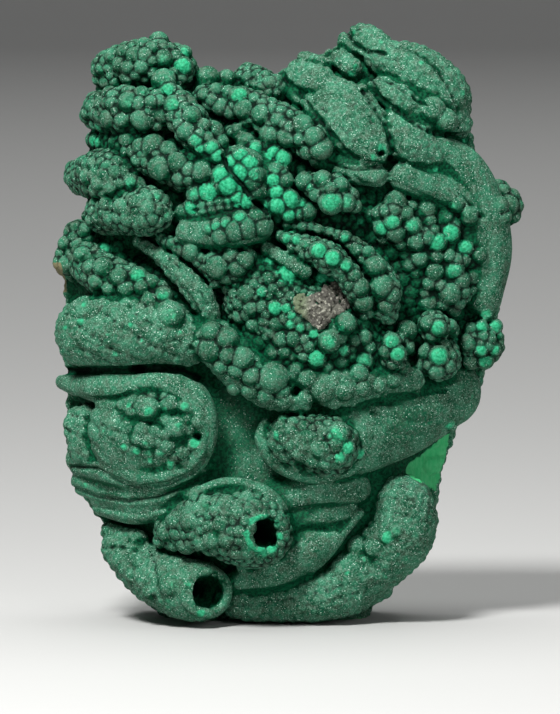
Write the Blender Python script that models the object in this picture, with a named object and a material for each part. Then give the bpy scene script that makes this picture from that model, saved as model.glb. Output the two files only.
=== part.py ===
"""Malachite specimen: a botryoidal, stalactitic cluster that stands on a flat cut base.

The stone is one closed solid. A rounded block gives the bulk, with a broken back made of a few
flat fracture planes. Fingers, folds and domes are fat tubes swept along short curves that lie on
the block, and the clustered ones carry small round knobs. One voxel remesh melts all of them
together, two tube mouths are bored, the foot is sawn flat, and a decimate leaves plain facets.

Places are written on a layout grid: x runs to the right, y runs down and lift runs towards the
front, all in grid steps of 0.2 mm. World axes: +X right, +Y back, +Z up, in metres.
"""

import math

import bmesh
import bpy
import numpy as np
from mathutils import Vector

# ---------------------------------------------------------------- driving dimensions

GRID = 0.0002                 # one layout grid step, in metres
MIDDLE_X = 267.0              # grid column that stands over the origin
FLOOR_Y = 619.0               # grid row of the sawn base
FRONT_DEPTH = 90.0            # the block's front, in grid steps from the middle plane
BACK_DEPTH = 118.0            # its broken back
SINK = 4.0                    # how far a finger's axis lies below the block's front skin
VOXEL = 0.0005                # remesh cell, in metres
TRIANGLES = 9000              # facets of the finished solid
SEED = 7

CENTRE = (280.0, 330.0)       # the block's middle, on the grid
OUTLINE = [                   # the block's front outline, on the grid
    (282, 78), (300, 58), (335, 52), (352, 32), (385, 42), (420, 56), (450, 84), (466, 118),
    (478, 165), (498, 200), (506, 250), (500, 300), (492, 345), (478, 390), (455, 428), (441, 470),
    (434, 520), (424, 562), (380, 588), (356, 646), (300, 650), (230, 650), (192, 645), (145, 598),
    (114, 560), (104, 525), (86, 497), (70, 470), (74, 425), (66, 385), (64, 340), (66, 300),
    (64, 262), (80, 232), (94, 200), (78, 176), (96, 142), (92, 112), (102, 76), (128, 54),
    (160, 42), (188, 64), (205, 80), (240, 76),
]
# Broad swellings and hollows of the block's front: x, y, radius, height.
SWELLS = [
    (300, 315, 75, 16), (250, 455, 44, -40), (330, 500, 42, -30), (356, 62, 16, -30),
    (140, 258, 22, -24), (425, 250, 48, -8), (236, 150, 16, -12), (265, 215, 14, -12),
    (150, 430, 50, 14), (232, 525, 45, 18), (180, 590, 35, 18), (395, 530, 40, 14),
    (315, 445, 45, 12), (225, 300, 14, -14), (170, 180, 18, -10), (300, 172, 20, -14),
    (425, 468, 30, -34),
]
# Fracture planes of the back: slope per grid step along x and along y, then the depth at the middle.
BACK_PLANES = [
    (0.04, 0.03, 108), (-0.22, 0.05, 128), (0.24, -0.06, 130), (0.03, -0.18, 130),
    (-0.05, 0.20, 132), (0.40, 0.25, 165), (-0.38, -0.20, 160), (-0.30, 0.30, 160),
]

# Rows of lobes round the flanks: how many, depth behind the middle plane, radius.
SIDE_ROWS = [(30, 14, 22), (27, 46, 24), (22, 76, 24)]

# ---------------------------------------------------------------- fingers, folds and domes

# name: (knob radius or 0 for a smooth skin, flatness front to back, points of x, y, radius, lift)
FINGERS = {
    # upper left: rows of knobby fingers, stacked like a bunch of grapes
    "crown": (10, 1, [(113, 70, 19, 2), (145, 62, 19, 6), (176, 64, 17, 4)]),
    "crown_peak": (9, 1, [(158, 48, 11, -6), (161, 60, 12, 4)]),
    "crown_right": (9, 1, [(166, 84, 10, 6), (182, 72, 11, 8)]),
    "second_row": (10, 1, [(99, 112, 15, 0), (125, 108, 17, 6), (155, 108, 16, 6)]),
    "diagonal": (10, 1, [(172, 96, 12, 6), (190, 125, 17, 10), (212, 155, 16, 8)]),
    "third_row": (10, 1, [(96, 141, 10, -8), (130, 144, 11, -6), (158, 158, 14, 0), (200, 176, 13, 2)]),
    "left_bulb": (9, 1, [(84, 176, 17, 0), (112, 177, 22, 6), (135, 184, 11, 8)]),
    "left_bulb_low": (9, 1, [(108, 213, 19, 2), (150, 212, 21, 8)]),
    "bright_pair": (10, 1, [(192, 195, 8, 4), (208, 193, 9, 6)]),
    "bright_block": (0, 1, [(224, 180, 10, 6), (235, 186, 8, 6)]),
    "bright_top": (0, 1, [(238, 162, 10, 4), (251, 172, 11, 6)]),
    "bright_cone": (0, 1, [(250, 190, 9, 2), (257, 196, 6, 2)]),
    "banana_high": (0, 1, [(186, 210, 8, 0), (215, 206, 10, 4), (243, 201, 9, 6)]),
    "banana_low": (0, 1, [(196, 232, 11, 4), (225, 233, 14, 8), (256, 226, 14, 8)]),
    # upper middle: two long knobby fingers and two smooth tear-shaped ones
    "notch_knob": (0, 1, [(249, 77, 10, 0), (270, 90, 12, 4)]),
    "notch_cluster": (9, 1, [(203, 84, 11, -4), (226, 84, 9, -2)]),
    "long_cluster": (10, 1, [(203, 98, 11, -2), (240, 106, 15, 6), (278, 124, 17, 10), (316, 146, 17, 10)]),
    "cluster_under": (10, 1, [(238, 135, 9, -6), (256, 150, 9, -2), (282, 163, 9, -2)]),
    "inner_cluster": (10, 1, [(277, 178, 9, 0), (286, 190, 11, 0), (280, 207, 11, 2), (298, 210, 10, 2)]),
    "slim_dark": (0, 1, [(285, 88, 9, -8), (300, 102, 7, -6)]),
    "long_finger": (0, 1, [(308, 104, 8, 2), (340, 131, 15, 8), (372, 153, 16, 10)]),
    "long_finger_upper": (0, 1, [(328, 88, 9, 0), (356, 110, 15, 6), (376, 140, 11, 6)]),
    "under_finger": (0, 1, [(318, 163, 9, -4), (348, 172, 12, 0), (375, 178, 11, 4)]),
    "top_scale": (0, 1, [(303, 57, 8, -4), (327, 65, 8, -2)]),
    "top_lobe": (0, 1, [(299, 76, 12, 0), (320, 84, 12, 4)]),
    "top_tongue": (0, 1, [(338, 60, 8, -4), (350, 69, 8, 0)]),
    # upper right: a horn, a broad petal and long draped folds
    "horn": (0, 1, [(351, 42, 11, -4), (365, 41, 13, -2), (378, 50, 12, 2)]),
    "petal": (0, 1, [(380, 58, 15, 2), (412, 74, 25, 4), (440, 100, 27, 2), (454, 124, 15, 0)]),
    "petal_knob": (0, 1, [(428, 117, 11, 16), (443, 124, 12, 18)]),
    "finger_a": (0, 1, [(378, 88, 9, 4), (400, 104, 11, 8), (415, 115, 10, 8)]),
    "lobe_c": (0, 1, [(393, 128, 12, 6), (410, 145, 17, 8), (432, 158, 14, 8)]),
    "drape_high": (0, 1, [(434, 156, 13, 8), (462, 174, 17, 10), (483, 207, 15, 6), (494, 250, 16, 0),
                          (488, 298, 13, 0)]),
    "drape_low": (0, 1, [(403, 178, 13, 8), (440, 190, 13, 8), (466, 207, 12, 8), (482, 240, 9, 6),
                         (484, 275, 8, 4)]),
    "right_knob": (0, 1, [(498, 202, 12, -4), (507, 205, 15, -2)]),
    # right: a bed of loose knobs inside the drapes
    "field": (11, 0.7, [(395, 225, 22, -14), (425, 245, 36, -22), (440, 285, 26, -18)]),
    # centre: knobby ridges that fan out, and the central dome
    "rosette": (10, 1, [(306, 184, 11, 6), (332, 195, 16, 10), (350, 205, 11, 6)]),
    "ridge_one": (10, 1, [(285, 227, 5, -2), (315, 230, 6, 0), (345, 241, 8, 2), (368, 262, 11, 6),
                         (383, 288, 14, 8), (384, 313, 12, 4)]),
    "ridge_two": (10, 1, [(282, 238, 7, 2), (300, 246, 11, 6), (325, 258, 14, 10), (345, 273, 12, 10),
                         (358, 295, 12, 8), (365, 313, 9, 4)]),
    "ridge_three": (0, 1, [(268, 250, 7, 2), (286, 262, 8, 4), (303, 272, 8, 4)]),
    "dome_left": (11, 1, [(222, 268, 15, 6), (245, 264, 13, 8)]),
    "dome": (10, 0.75, [(265, 300, 36, -14), (300, 330, 48, -18), (345, 345, 38, -18)]),
    "dome_shelf": (11, 1, [(300, 376, 12, 4), (335, 388, 18, 4), (375, 385, 14, 0), (405, 382, 12, -4)]),
    # right middle: three round knob clusters
    "cluster_one": (10, 1, [(391, 344, 13, 6), (390, 354, 14, 8)]),
    "cluster_one_side": (0, 1, [(407, 329, 9, 2), (406, 347, 8, 2)]),
    "cluster_two": (0, 1, [(432, 327, 14, 6), (449, 330, 9, 0)]),
    "cluster_three": (11, 1, [(437, 358, 19, 4)]),
    "cluster_four": (11, 1, [(480, 341, 23, 0)]),
    # a smooth skirt below the dome, with the knobby eye let into it
    "skirt": (0, 0.7, [(352, 430, 38, -14), (400, 410, 38, -18), (445, 392, 30, -20)]),
    "skirt_hem": (0, 1, [(350, 464, 11, -8), (395, 450, 10, -12), (438, 428, 9, -18), (466, 402, 9, -20)]),
    "eye": (10, 1, [(295, 440, 24, 0), (330, 445, 27, 2)]),
    "eye_rim": (0, 1, [(265, 424, 6, 0), (263, 440, 8, 2), (280, 463, 9, 4), (312, 474, 9, 4), (345, 468, 9, 0)]),
    # left: a knobby cap and fan, a striped finger and the smooth shoulder that it runs into
    "left_cap": (10, 1, [(80, 238, 15, 0), (72, 262, 15, -2)]),
    "left_fan": (11, 1, [(88, 262, 17, 2), (105, 275, 18, 4), (130, 283, 16, 6), (165, 295, 11, 6)]),
    "striped": (0, 1, [(147, 247, 8, 2), (165, 260, 11, 6), (188, 280, 17, 8), (205, 303, 18, 8),
                       (207, 318, 12, 6)]),
    "striped_small": (0, 1, [(166, 241, 6, 0), (185, 251, 8, 4), (205, 264, 8, 2), (216, 282, 6, 0)]),
    "shoulder": (0, 0.85, [(86, 332, 29, 0), (120, 330, 31, 2), (158, 328, 28, 4), (188, 345, 18, 4)]),
    "shoulder_knob": (0, 1, [(171, 316, 12, 20)]),
    "band": (11, 1, [(213, 342, 17, 6), (245, 368, 20, 8), (275, 392, 17, 6), (300, 402, 10, 2)]),
    # lower left: a bulb in a rolled rim, wrapped by smooth folds
    "fold_tip": (0, 1, [(64, 384, 8, -4), (98, 386, 12, 2), (132, 388, 11, 6)]),
    "bulb": (0, 0.7, [(146, 432, 46, -26), (166, 432, 44, -22)]),
    "bulb_rim": (0, 1, [(135, 388, 9, 14), (165, 383, 10, 16), (193, 398, 11, 16), (205, 430, 11, 14),
                        (192, 462, 10, 10), (160, 470, 9, 8)]),
    "bulb_side": (0, 1, [(90, 428, 22, -4), (93, 448, 20, -4)]),
    "inner_one": (0, 1, [(133, 406, 9, 18), (150, 407, 11, 20)]),
    "inner_two": (0, 1, [(170, 399, 9, 20), (190, 404, 8, 18)]),
    "inner_three": (0, 1, [(178, 424, 13, 22), (196, 428, 11, 20)]),
    "inner_four": (0, 1, [(124, 430, 9, 14), (148, 434, 12, 20), (165, 444, 9, 18)]),
    "fold_a": (0, 1, [(80, 462, 13, 0), (115, 468, 12, 6), (155, 478, 11, 6), (188, 468, 9, 4),
                      (205, 452, 7, 0)]),
    "fold_b": (0, 1, [(82, 482, 14, 0), (115, 490, 12, 4), (155, 492, 10, 2), (190, 480, 8, 0),
                      (225, 462, 7, -6)]),
    "fold_c": (0, 1, [(102, 502, 12, 0), (135, 512, 11, 2), (168, 505, 9, 0), (200, 488, 6, -4)]),
    "wedge": (0, 1, [(112, 532, 11, 0), (140, 538, 9, 2)]),
    # bottom: two tubes that open to the front, and the folds and lobes of the foot
    "tube_one": (10, 1, [(172, 530, 17, 2), (205, 522, 26, 10), (240, 526, 32, 16), (256, 530, 32, 22)]),
    "tube_one_rim": (0, 1, [(190, 496, 6, 6), (225, 484, 8, 10), (262, 493, 9, 12), (283, 520, 9, 10),
                            (280, 552, 9, 6), (245, 563, 8, 4)]),
    "tube_two": (10, 1, [(124, 548, 19, 2), (150, 570, 24, 10), (182, 586, 26, 18), (193, 589, 27, 24)]),
    "saddle_fold": (0, 1, [(290, 518, 7, -2), (318, 508, 7, 0), (340, 505, 4, 0)]),
    "wave": (0, 1, [(242, 577, 10, 4), (280, 562, 15, 8), (318, 541, 11, 4)]),
    "foot": (0, 1, [(403, 503, 25, 0), (399, 532, 33, 0), (372, 556, 24, 6)]),
    "bottom_lobe": (0, 1, [(243, 602, 15, 6), (290, 600, 17, 8), (338, 590, 18, 8), (380, 570, 13, 2)]),
}
# Round knobs that stand out one by one: x, y, radius.
KNOBS = [
    (392, 200, 10), (391, 222, 9), (410, 227, 9), (422, 208, 10), (444, 218, 8), (466, 217, 10),
    (448, 234, 8), (436, 242, 8), (463, 252, 9), (416, 243, 9), (418, 260, 9), (432, 273, 8),
    (453, 270, 10), (468, 277, 8), (427, 302, 11), (450, 292, 11), (411, 292, 9), (391, 253, 8),
    (332, 205, 12), (304, 183, 9), (322, 181, 9), (317, 253, 9), (332, 262, 9), (372, 268, 10),
    (378, 288, 11), (286, 278, 12), (270, 265, 8), (315, 358, 10), (340, 361, 9), (357, 373, 9),
    (340, 434, 11), (346, 448, 9), (320, 448, 8), (213, 333, 8), (213, 350, 11), (229, 355, 9),
    (247, 357, 10), (267, 379, 16), (184, 70, 10), (184, 53, 8), (165, 61, 9), (159, 42, 10),
    (170, 92, 9), (131, 104, 10), (110, 120, 10), (143, 122, 11), (215, 132, 10), (222, 146, 9),
    (240, 101, 9), (263, 116, 10), (275, 137, 12), (302, 128, 11), (318, 146, 13), (105, 268, 10),
    (120, 277, 10), (128, 289, 9), (140, 275, 9), (165, 297, 9), (82, 258, 9), (107, 250, 9),
    (160, 168, 12), (146, 150, 12), (195, 176, 11), (290, 203, 9), (357, 545, 10), (172, 582, 11),
    (228, 503, 10), (209, 540, 9), (170, 530, 10), (391, 344, 12), (437, 357, 11), (482, 325, 10),
]
# Bored tube mouths: x, y, radius at the lip, radius inside, lean of the bore to the left, depth.
MOUTHS = [
    (264, 531, 15, 12, 0.30, 62),
    (203, 590, 17, 11, 0.35, 55),
]


# ---------------------------------------------------------------- layout grid and block


def world_x(x):
    """World X of a grid column."""
    return (x - MIDDLE_X) * GRID


def world_z(y):
    """World Z of a grid row."""
    return (FLOOR_Y - y) * GRID


def smooth_outline(samples):
    """Radius of the block's outline at evenly spaced angles about its middle."""
    corners = np.array(OUTLINE, float) - CENTRE
    angles = np.arctan2(corners[:, 1], corners[:, 0])
    radii = np.hypot(corners[:, 0], corners[:, 1])
    order = np.argsort(angles)
    around = np.linspace(-math.pi, math.pi, samples, endpoint=False)
    exact = np.interp(around, angles[order], radii[order], period=2 * math.pi)
    padded = np.concatenate([exact[-3:], exact, exact[:3]])
    rounded = np.convolve(padded, np.ones(7) / 7, "valid")
    return around, np.minimum(exact, rounded)


ANGLES, RADII = smooth_outline(180)


def reach(x, y):
    """How far a grid point lies from the middle: 0 at the middle, 1 on the outline."""
    across = x - CENTRE[0]
    down = y - CENTRE[1]
    limit = np.interp(np.arctan2(down, across), ANGLES, RADII, period=2 * math.pi)
    return np.hypot(across, down) / limit


def front_skin(x, y):
    """Height of the block's front above its middle plane, in grid steps."""
    out = np.clip(reach(x, y), 0, 1)
    height = FRONT_DEPTH * (1 - out ** 4) ** 0.7
    fade = np.clip((1.05 - out) * 4, 0, 1)
    for swell_x, swell_y, radius, amount in SWELLS:
        far = ((x - swell_x) ** 2 + (y - swell_y) ** 2) / radius ** 2
        height = height + fade * amount * np.exp(-far)
    return height


def back_skin(x, y):
    """Depth of the block's back, rolled in at the rim."""
    return BACK_DEPTH * (1 - np.clip(reach(x, y), 0, 1) ** 14)


def block(rings=40):
    """Vertices and faces of the block: rings from the front's middle round to the back's middle."""
    loops = []
    spread = np.linspace(0.02, 1, rings)
    for share in spread:
        x = CENTRE[0] + np.cos(ANGLES) * RADII * share
        y = CENTRE[1] + np.sin(ANGLES) * RADII * share
        front = np.maximum(front_skin(x, y) - 6, -20) * (1 - share ** 16)
        loops.append(np.column_stack([world_x(x), -front * GRID, world_z(y)]))
    for share in spread[-2::-1]:
        x = CENTRE[0] + np.cos(ANGLES) * RADII * share
        y = CENTRE[1] + np.sin(ANGLES) * RADII * share
        loops.append(np.column_stack([world_x(x), back_skin(x, y) * GRID, world_z(y)]))
    return loft(loops)


def loft(loops):
    """Vertices and faces of a closed skin through equal loops, with flat caps on both ends."""
    count = len(loops[0])
    faces = []
    for row in range(len(loops) - 1):
        for step in range(count):
            first = row * count + step
            second = row * count + (step + 1) % count
            faces.append((first, second, second + count, first + count))
    faces.append(tuple(reversed(range(count))))
    last = (len(loops) - 1) * count
    faces.append(tuple(range(last, last + count)))
    return np.concatenate(loops), faces


# ---------------------------------------------------------------- swept fingers and their knobs


def smooth_curve(points, per_span=6):
    """A Catmull-Rom curve through rows of x, y, z, radius."""
    points = np.array(points, float)
    if len(points) == 1:
        nudge = np.array([0.1 * GRID, 0, 0, 0])
        return np.array([points[0] - nudge, points[0] + nudge])
    ghosts = np.vstack([2 * points[0] - points[1], points, 2 * points[-1] - points[-2]])
    curve = []
    for span in range(1, len(ghosts) - 2):
        before, start, stop, after = ghosts[span - 1:span + 3]
        for t in np.linspace(0, 1, per_span, endpoint=False):
            bend = 2 * before - 5 * start + 4 * stop - after
            twist = 3 * start - before - 3 * stop + after
            curve.append(0.5 * (2 * start + (stop - before) * t + bend * t ** 2 + twist * t ** 3))
    curve.append(points[-1])
    return np.array(curve)


def finger_curve(points):
    """The axis of a finger in world space, lying on the block's front: rows of x, y, z, radius."""
    rows = []
    for x, y, radius, lift in points:
        height = front_skin(x, y) + lift - SINK
        rows.append((world_x(x), -height * GRID, world_z(y), radius * GRID))
    return smooth_curve(rows)


def stations(curve, cap_steps=5):
    """Rings along a finger: centre, radius, two cross directions and how the skin leans."""
    centres = curve[:, :3]
    along = np.gradient(centres, axis=0)
    along /= np.linalg.norm(along, axis=1)[:, None]
    side = np.cross(along[0], (0.0, 1.0, 0.05))
    found = []
    for index, centre in enumerate(centres):
        side = side - along[index] * np.dot(side, along[index])
        side /= np.linalg.norm(side)
        found.append((centre, curve[index, 3], side.copy(), np.cross(along[index], side), along[index]))
    angles = np.linspace(0, math.pi / 2, cap_steps, endpoint=False)[1:]
    rings = [cap_ring(found[0], angle, -1) for angle in angles]
    rings += [(centre, radius, one, two, np.zeros(3), 1.0) for centre, radius, one, two, _ in found]
    rings += [cap_ring(found[-1], angle, 1) for angle in reversed(angles)]
    return rings


def cap_ring(station, angle, end):
    """A ring of a finger's round end; end is -1 at its start and 1 at its tip."""
    centre, radius, one, two, along = station
    lean = end * math.cos(angle)
    place = centre + along * radius * lean
    return place, radius * math.sin(angle), one, two, along * lean, math.sin(angle)


def sweep(curve, flatness, sides=18):
    """Vertices and faces of a finger: a fat tube with round ends, flattened front to back."""
    angles = np.linspace(0, 2 * math.pi, sides, endpoint=False)
    loops = []
    for centre, radius, one, two, _, _ in stations(curve):
        loop = centre + radius * (np.cos(angles)[:, None] * one + np.sin(angles)[:, None] * two)
        loop[:, 1] = centre[1] + (loop[:, 1] - centre[1]) * flatness
        loops.append(loop)
    return loft(loops)


def knobs_along(curve, knob, flatness, random):
    """Knobs spread evenly over a finger's skin: rows of x, y, z, radius in metres."""
    rings = stations(curve, 7)
    centres = np.array([ring[0] for ring in rings])
    radii = np.array([ring[1] for ring in rings])
    slants = np.hypot(np.linalg.norm(np.diff(centres, axis=0), axis=1), np.diff(radii))
    area = np.concatenate([[0], np.cumsum(math.pi * (radii[1:] + radii[:-1]) * slants)])
    count = int(area[-1] / (math.pi * (0.86 * knob * GRID) ** 2)) + 1
    turn = math.pi * (3 - math.sqrt(5))
    found = []
    for index in range(count):
        target = (index + 0.5) / count * area[-1]
        place = int(np.clip(np.searchsorted(area, target) - 1, 0, len(rings) - 2))
        share = (target - area[place]) / max(area[place + 1] - area[place], 1e-12)
        low, high = rings[place], rings[place + 1]
        centre, radius, one, two, lean, rise = [a * (1 - share) + b * share for a, b in zip(low, high)]
        angle = index * turn + random.uniform(-0.2, 0.2)
        spoke = math.cos(angle) * one + math.sin(angle) * two
        normal = lean + spoke * rise
        normal /= np.linalg.norm(normal)
        skin = centre + radius * spoke
        skin[1] = centre[1] + (skin[1] - centre[1]) * flatness
        size = knob * GRID * random.uniform(0.8, 1.2)
        found.append((*(skin - normal * size * 0.3), size))
    return found


def ball(centre, radius):
    """Vertices and faces of a knob."""
    mesh = bmesh.new()
    bmesh.ops.create_icosphere(mesh, subdivisions=2, radius=radius)
    vertices = np.array([vertex.co for vertex in mesh.verts]) + centre
    faces = [tuple(vertex.index for vertex in face.verts) for face in mesh.faces]
    mesh.free()
    return vertices, faces


def side_lobes(random):
    """Short fat lobes round the block's flanks, behind the front's fingers."""
    found = []
    for count, depth, radius in SIDE_ROWS:
        for index in range(count):
            angle = (index + random.uniform(0.25, 0.75)) / count * 2 * math.pi - math.pi
            size = radius * random.uniform(0.8, 1.2)
            limit = np.interp(angle, ANGLES, RADII, period=2 * math.pi) - 1.05 * size - 0.1 * depth
            slant = random.uniform(-0.6, 0.6) * size / limit
            ends = []
            for turn in (-0.5, 0.5):
                x = CENTRE[0] + math.cos(angle + turn * slant) * limit
                y = CENTRE[1] + math.sin(angle + turn * slant) * limit
                ends.append((world_x(x), (depth + turn * size) * GRID, world_z(y), size * GRID))
            found.append(smooth_curve(ends))
    return found


def standing_knobs(fingers_mesh):
    """The single knobs, each set on the front skin of the block and its fingers."""
    found = []
    for x, y, radius in KNOBS:
        start = Vector((world_x(x), -0.2, world_z(y)))
        hit, place, _, _ = fingers_mesh.ray_cast(start, Vector((0, 1, 0)))
        if hit:
            found.append((place.x, place.y + 0.25 * radius * GRID, place.z, radius * GRID))
    return found


# ---------------------------------------------------------------- joining, boring and sawing


def break_back(vertices):
    """Press whatever lies behind a fracture plane flat onto it."""
    for slope_x, slope_y, middle in BACK_PLANES:
        across = vertices[:, 0] - world_x(CENTRE[0])
        down = world_z(CENTRE[1]) - vertices[:, 2]
        plane = middle * GRID + slope_x * across + slope_y * down
        vertices[:, 1] = np.minimum(vertices[:, 1], plane)


def new_object(name, pieces):
    """One object from a list of (vertices, faces)."""
    vertices = []
    faces = []
    for piece_vertices, piece_faces in pieces:
        start = len(vertices)
        vertices.extend(piece_vertices.tolist())
        faces.extend(tuple(index + start for index in face) for face in piece_faces)
    mesh = bpy.data.meshes.new(name)
    mesh.from_pydata(vertices, [], faces)
    made = bpy.data.objects.new(name, mesh)
    bpy.context.scene.collection.objects.link(made)
    return made


def apply_modifiers(target):
    """Replace an object's mesh by what its modifiers make of it."""
    graph = bpy.context.evaluated_depsgraph_get()
    mesh = bpy.data.meshes.new_from_object(target.evaluated_get(graph))
    target.modifiers.clear()
    target.data = mesh


def melt(target):
    """Join overlapping pieces into one skin."""
    remesh = target.modifiers.new("melt", "REMESH")
    remesh.mode = "VOXEL"
    remesh.voxel_size = VOXEL
    apply_modifiers(target)


def soften(target):
    """Round the creases that are finer than a facet."""
    smooth = target.modifiers.new("soften", "SMOOTH")
    smooth.factor = 0.5
    smooth.iterations = 3
    apply_modifiers(target)


def thin_out(target, triangles):
    """Leave only the facets that carry the shape."""
    decimate = target.modifiers.new("facets", "DECIMATE")
    faces = sum(len(polygon.vertices) - 2 for polygon in target.data.polygons)
    decimate.ratio = triangles / faces
    decimate.use_collapse_triangulate = True
    apply_modifiers(target)


def cut(target, cutter):
    """Take a cutter's shape out of an object."""
    cutter.hide_render = True
    cutter.display_type = "WIRE"
    boolean = target.modifiers.new("cut", "BOOLEAN")
    boolean.operation = "DIFFERENCE"
    boolean.object = cutter
    apply_modifiers(target)
    bpy.data.objects.remove(cutter)


def mouth_cutter(x, y, lip, inside, lean, depth):
    """A tapered bore that opens to the front and leans back to the left."""
    skin = front_skin(x, y)
    points = []
    for share, radius in ((-0.9, lip * 1.5), (0.1, lip), (0.35, inside), (1.0, inside * 0.8)):
        step = share * depth
        height = skin + 22 - step
        points.append((world_x(x - lean * step), -height * GRID, world_z(y), radius * GRID))
    return new_object("bore", [sweep(smooth_curve(points, 4), 1, 14)])


def saw_foot(target):
    """Saw the stone flat at z = 0 and close the cut with a plane face."""
    mesh = bmesh.new()
    mesh.from_mesh(target.data)
    everything = mesh.verts[:] + mesh.edges[:] + mesh.faces[:]
    sawn = bmesh.ops.bisect_plane(mesh, geom=everything, dist=1e-7, plane_no=(0, 0, -1), clear_outer=True)
    rim = [item for item in sawn["geom_cut"] if isinstance(item, bmesh.types.BMEdge)]
    bmesh.ops.holes_fill(mesh, edges=rim, sides=0)
    bmesh.ops.triangulate(mesh, faces=[face for face in mesh.faces if len(face.verts) > 3])
    mesh.to_mesh(target.data)
    mesh.free()


def shells(mesh):
    """The separate closed skins of a bmesh, each as a list of faces."""
    left = set(mesh.faces)
    found = []
    while left:
        stack = [left.pop()]
        shell = list(stack)
        while stack:
            for edge in stack.pop().edges:
                fresh = [face for face in edge.link_faces if face in left]
                left.difference_update(fresh)
                stack.extend(fresh)
                shell.extend(fresh)
        found.append(shell)
    return found


def keep_outer_skin(target):
    """Drop the small closed pockets that the melt leaves inside, so that the stone is solid."""
    mesh = bmesh.new()
    mesh.from_mesh(target.data)
    parts = sorted(shells(mesh), key=len)
    pockets = [face for shell in parts[:-1] for face in shell]
    bmesh.ops.delete(mesh, geom=pockets, context="FACES")
    mesh.to_mesh(target.data)
    mesh.free()


# ---------------------------------------------------------------- the specimen


def stone_material():
    """Dark green, dull, drusy malachite."""
    material = bpy.data.materials.new("malachite")
    material.use_nodes = True
    surface = material.node_tree.nodes["Principled BSDF"]
    surface.inputs["Base Color"].default_value = (0.045, 0.19, 0.11, 1)
    surface.inputs["Roughness"].default_value = 0.6
    surface.inputs["Metallic"].default_value = 0.0
    return material


def make_malachite():
    """The whole specimen as one named solid."""
    random = np.random.RandomState(SEED)
    pieces = [block()]
    knobs = []
    for knob, flatness, points in FINGERS.values():
        curve = finger_curve(points)
        curve[:, 3] -= 0.5 * knob * GRID
        pieces.append(sweep(curve, flatness))
        if knob:
            knobs += knobs_along(curve, knob, flatness, random)
    pieces += [sweep(curve, 1) for curve in side_lobes(random)]
    smooth = new_object("fingers", pieces)
    knobs += standing_knobs(smooth)
    bpy.data.objects.remove(smooth)
    pieces += [ball(row[:3], row[3]) for row in knobs]
    for vertices, _ in pieces:
        break_back(vertices)
    stone = new_object("malachite", pieces)
    melt(stone)
    keep_outer_skin(stone)
    soften(stone)
    thin_out(stone, TRIANGLES)
    for mouth in MOUTHS:
        cut(stone, mouth_cutter(*mouth))
    saw_foot(stone)
    keep_outer_skin(stone)
    stone.data.materials.clear()
    stone.data.materials.append(stone_material())
    stone.data.shade_smooth()
    stone.data.set_sharp_from_angle(angle=math.radians(40))
    return stone


def main():
    for leftover in list(bpy.data.objects):
        bpy.data.objects.remove(leftover)
    make_malachite()


main()
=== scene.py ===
# %% [markdown]
# # A malachite specimen: knobs, folds, tubes and velvet druse
#
# Malachite grows from copper-rich water as thin films on top of each other, so its free surface is
# botryoidal: bunches of small round knobs, some of them on fat fingers, others run together into
# smooth rolled folds. This specimen is one piece of stone that stands on a sawn foot. It could be
# sculpted by hand, but its look follows a rule: a rounded block, fingers that lie on it, knobs that
# lie on the fingers, and a velvet of tiny crystals over everything but the worn tops. Each layer is
# made here in that order, and each is melted into the one below with a voxel remesh.

# %% Load the frame
import math

import bmesh
import bpy
import numpy as np
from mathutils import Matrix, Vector
from mathutils.bvhtree import BVHTree
from mathutils.kdtree import KDTree


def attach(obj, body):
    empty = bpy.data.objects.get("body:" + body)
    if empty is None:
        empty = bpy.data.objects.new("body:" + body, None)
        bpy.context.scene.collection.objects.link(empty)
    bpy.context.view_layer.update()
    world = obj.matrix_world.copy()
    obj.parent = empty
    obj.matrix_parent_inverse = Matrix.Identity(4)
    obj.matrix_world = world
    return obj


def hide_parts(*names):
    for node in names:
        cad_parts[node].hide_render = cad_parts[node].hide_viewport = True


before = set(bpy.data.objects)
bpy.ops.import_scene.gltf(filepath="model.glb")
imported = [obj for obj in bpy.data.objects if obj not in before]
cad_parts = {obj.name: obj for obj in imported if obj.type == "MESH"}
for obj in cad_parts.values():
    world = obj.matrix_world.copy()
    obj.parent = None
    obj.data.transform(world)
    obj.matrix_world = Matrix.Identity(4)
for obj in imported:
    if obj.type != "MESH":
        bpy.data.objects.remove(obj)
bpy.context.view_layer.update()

# %% [markdown]
# ## A layout grid for places on the show face
#
# Places on the front are easier to read on a flat grid than as three coordinates, so they are
# written as a column x to the right and a row y downwards, in steps of 0.2 mm. A third number, the
# height, says how far something stands in front of the stone's middle plane. The eye that reads the
# grid looks down by 4 degrees, so a place that stands out to the front also sits a little higher
# than its row says. World Y grows to the back.

# %% Layout grid
GRID = 0.0002                                # metres
MIDDLE_X = 267.0                             # the column of world X = 0
FLOOR_Y = 619.0                              # the row of the foot
LOOK_DOWN = math.radians(4)
EYE_LEAN = math.tan(LOOK_DOWN)
SKIN_CELL = 0.0004                           # metres, the first melt
FINE_CELL = 0.00027    # the last melt, fine enough for the smallest knobs
STONE_TRIANGLES = 190000


def spot(x, y, height):
    """World place of a grid column, row and height; arrays or numbers."""
    height = height + 0.0 * x
    raised = FLOOR_Y - y + np.maximum(height, 0) * EYE_LEAN
    return np.stack([(x - MIDDLE_X) * GRID, -height * GRID, raised * GRID], axis=-1)


def read_grid(places):
    """Column, row and height of world places."""
    height = -places[:, 1] / GRID
    row = FLOOR_Y + np.maximum(height, 0) * EYE_LEAN - places[:, 2] / GRID
    return places[:, 0] / GRID + MIDDLE_X, row, height


print("grid step", GRID * 1000, "mm, finest cell", FINE_CELL * 1000, "mm")

# %% [markdown]
# ## The block
#
# Under its knobs the stone is a plain rounded lump. Its outline is drawn once as seen from the
# front. Its depth follows a formula that stays full over the middle and rolls in at the rim, and a
# few broad swellings and hollows are added to that.

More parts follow.
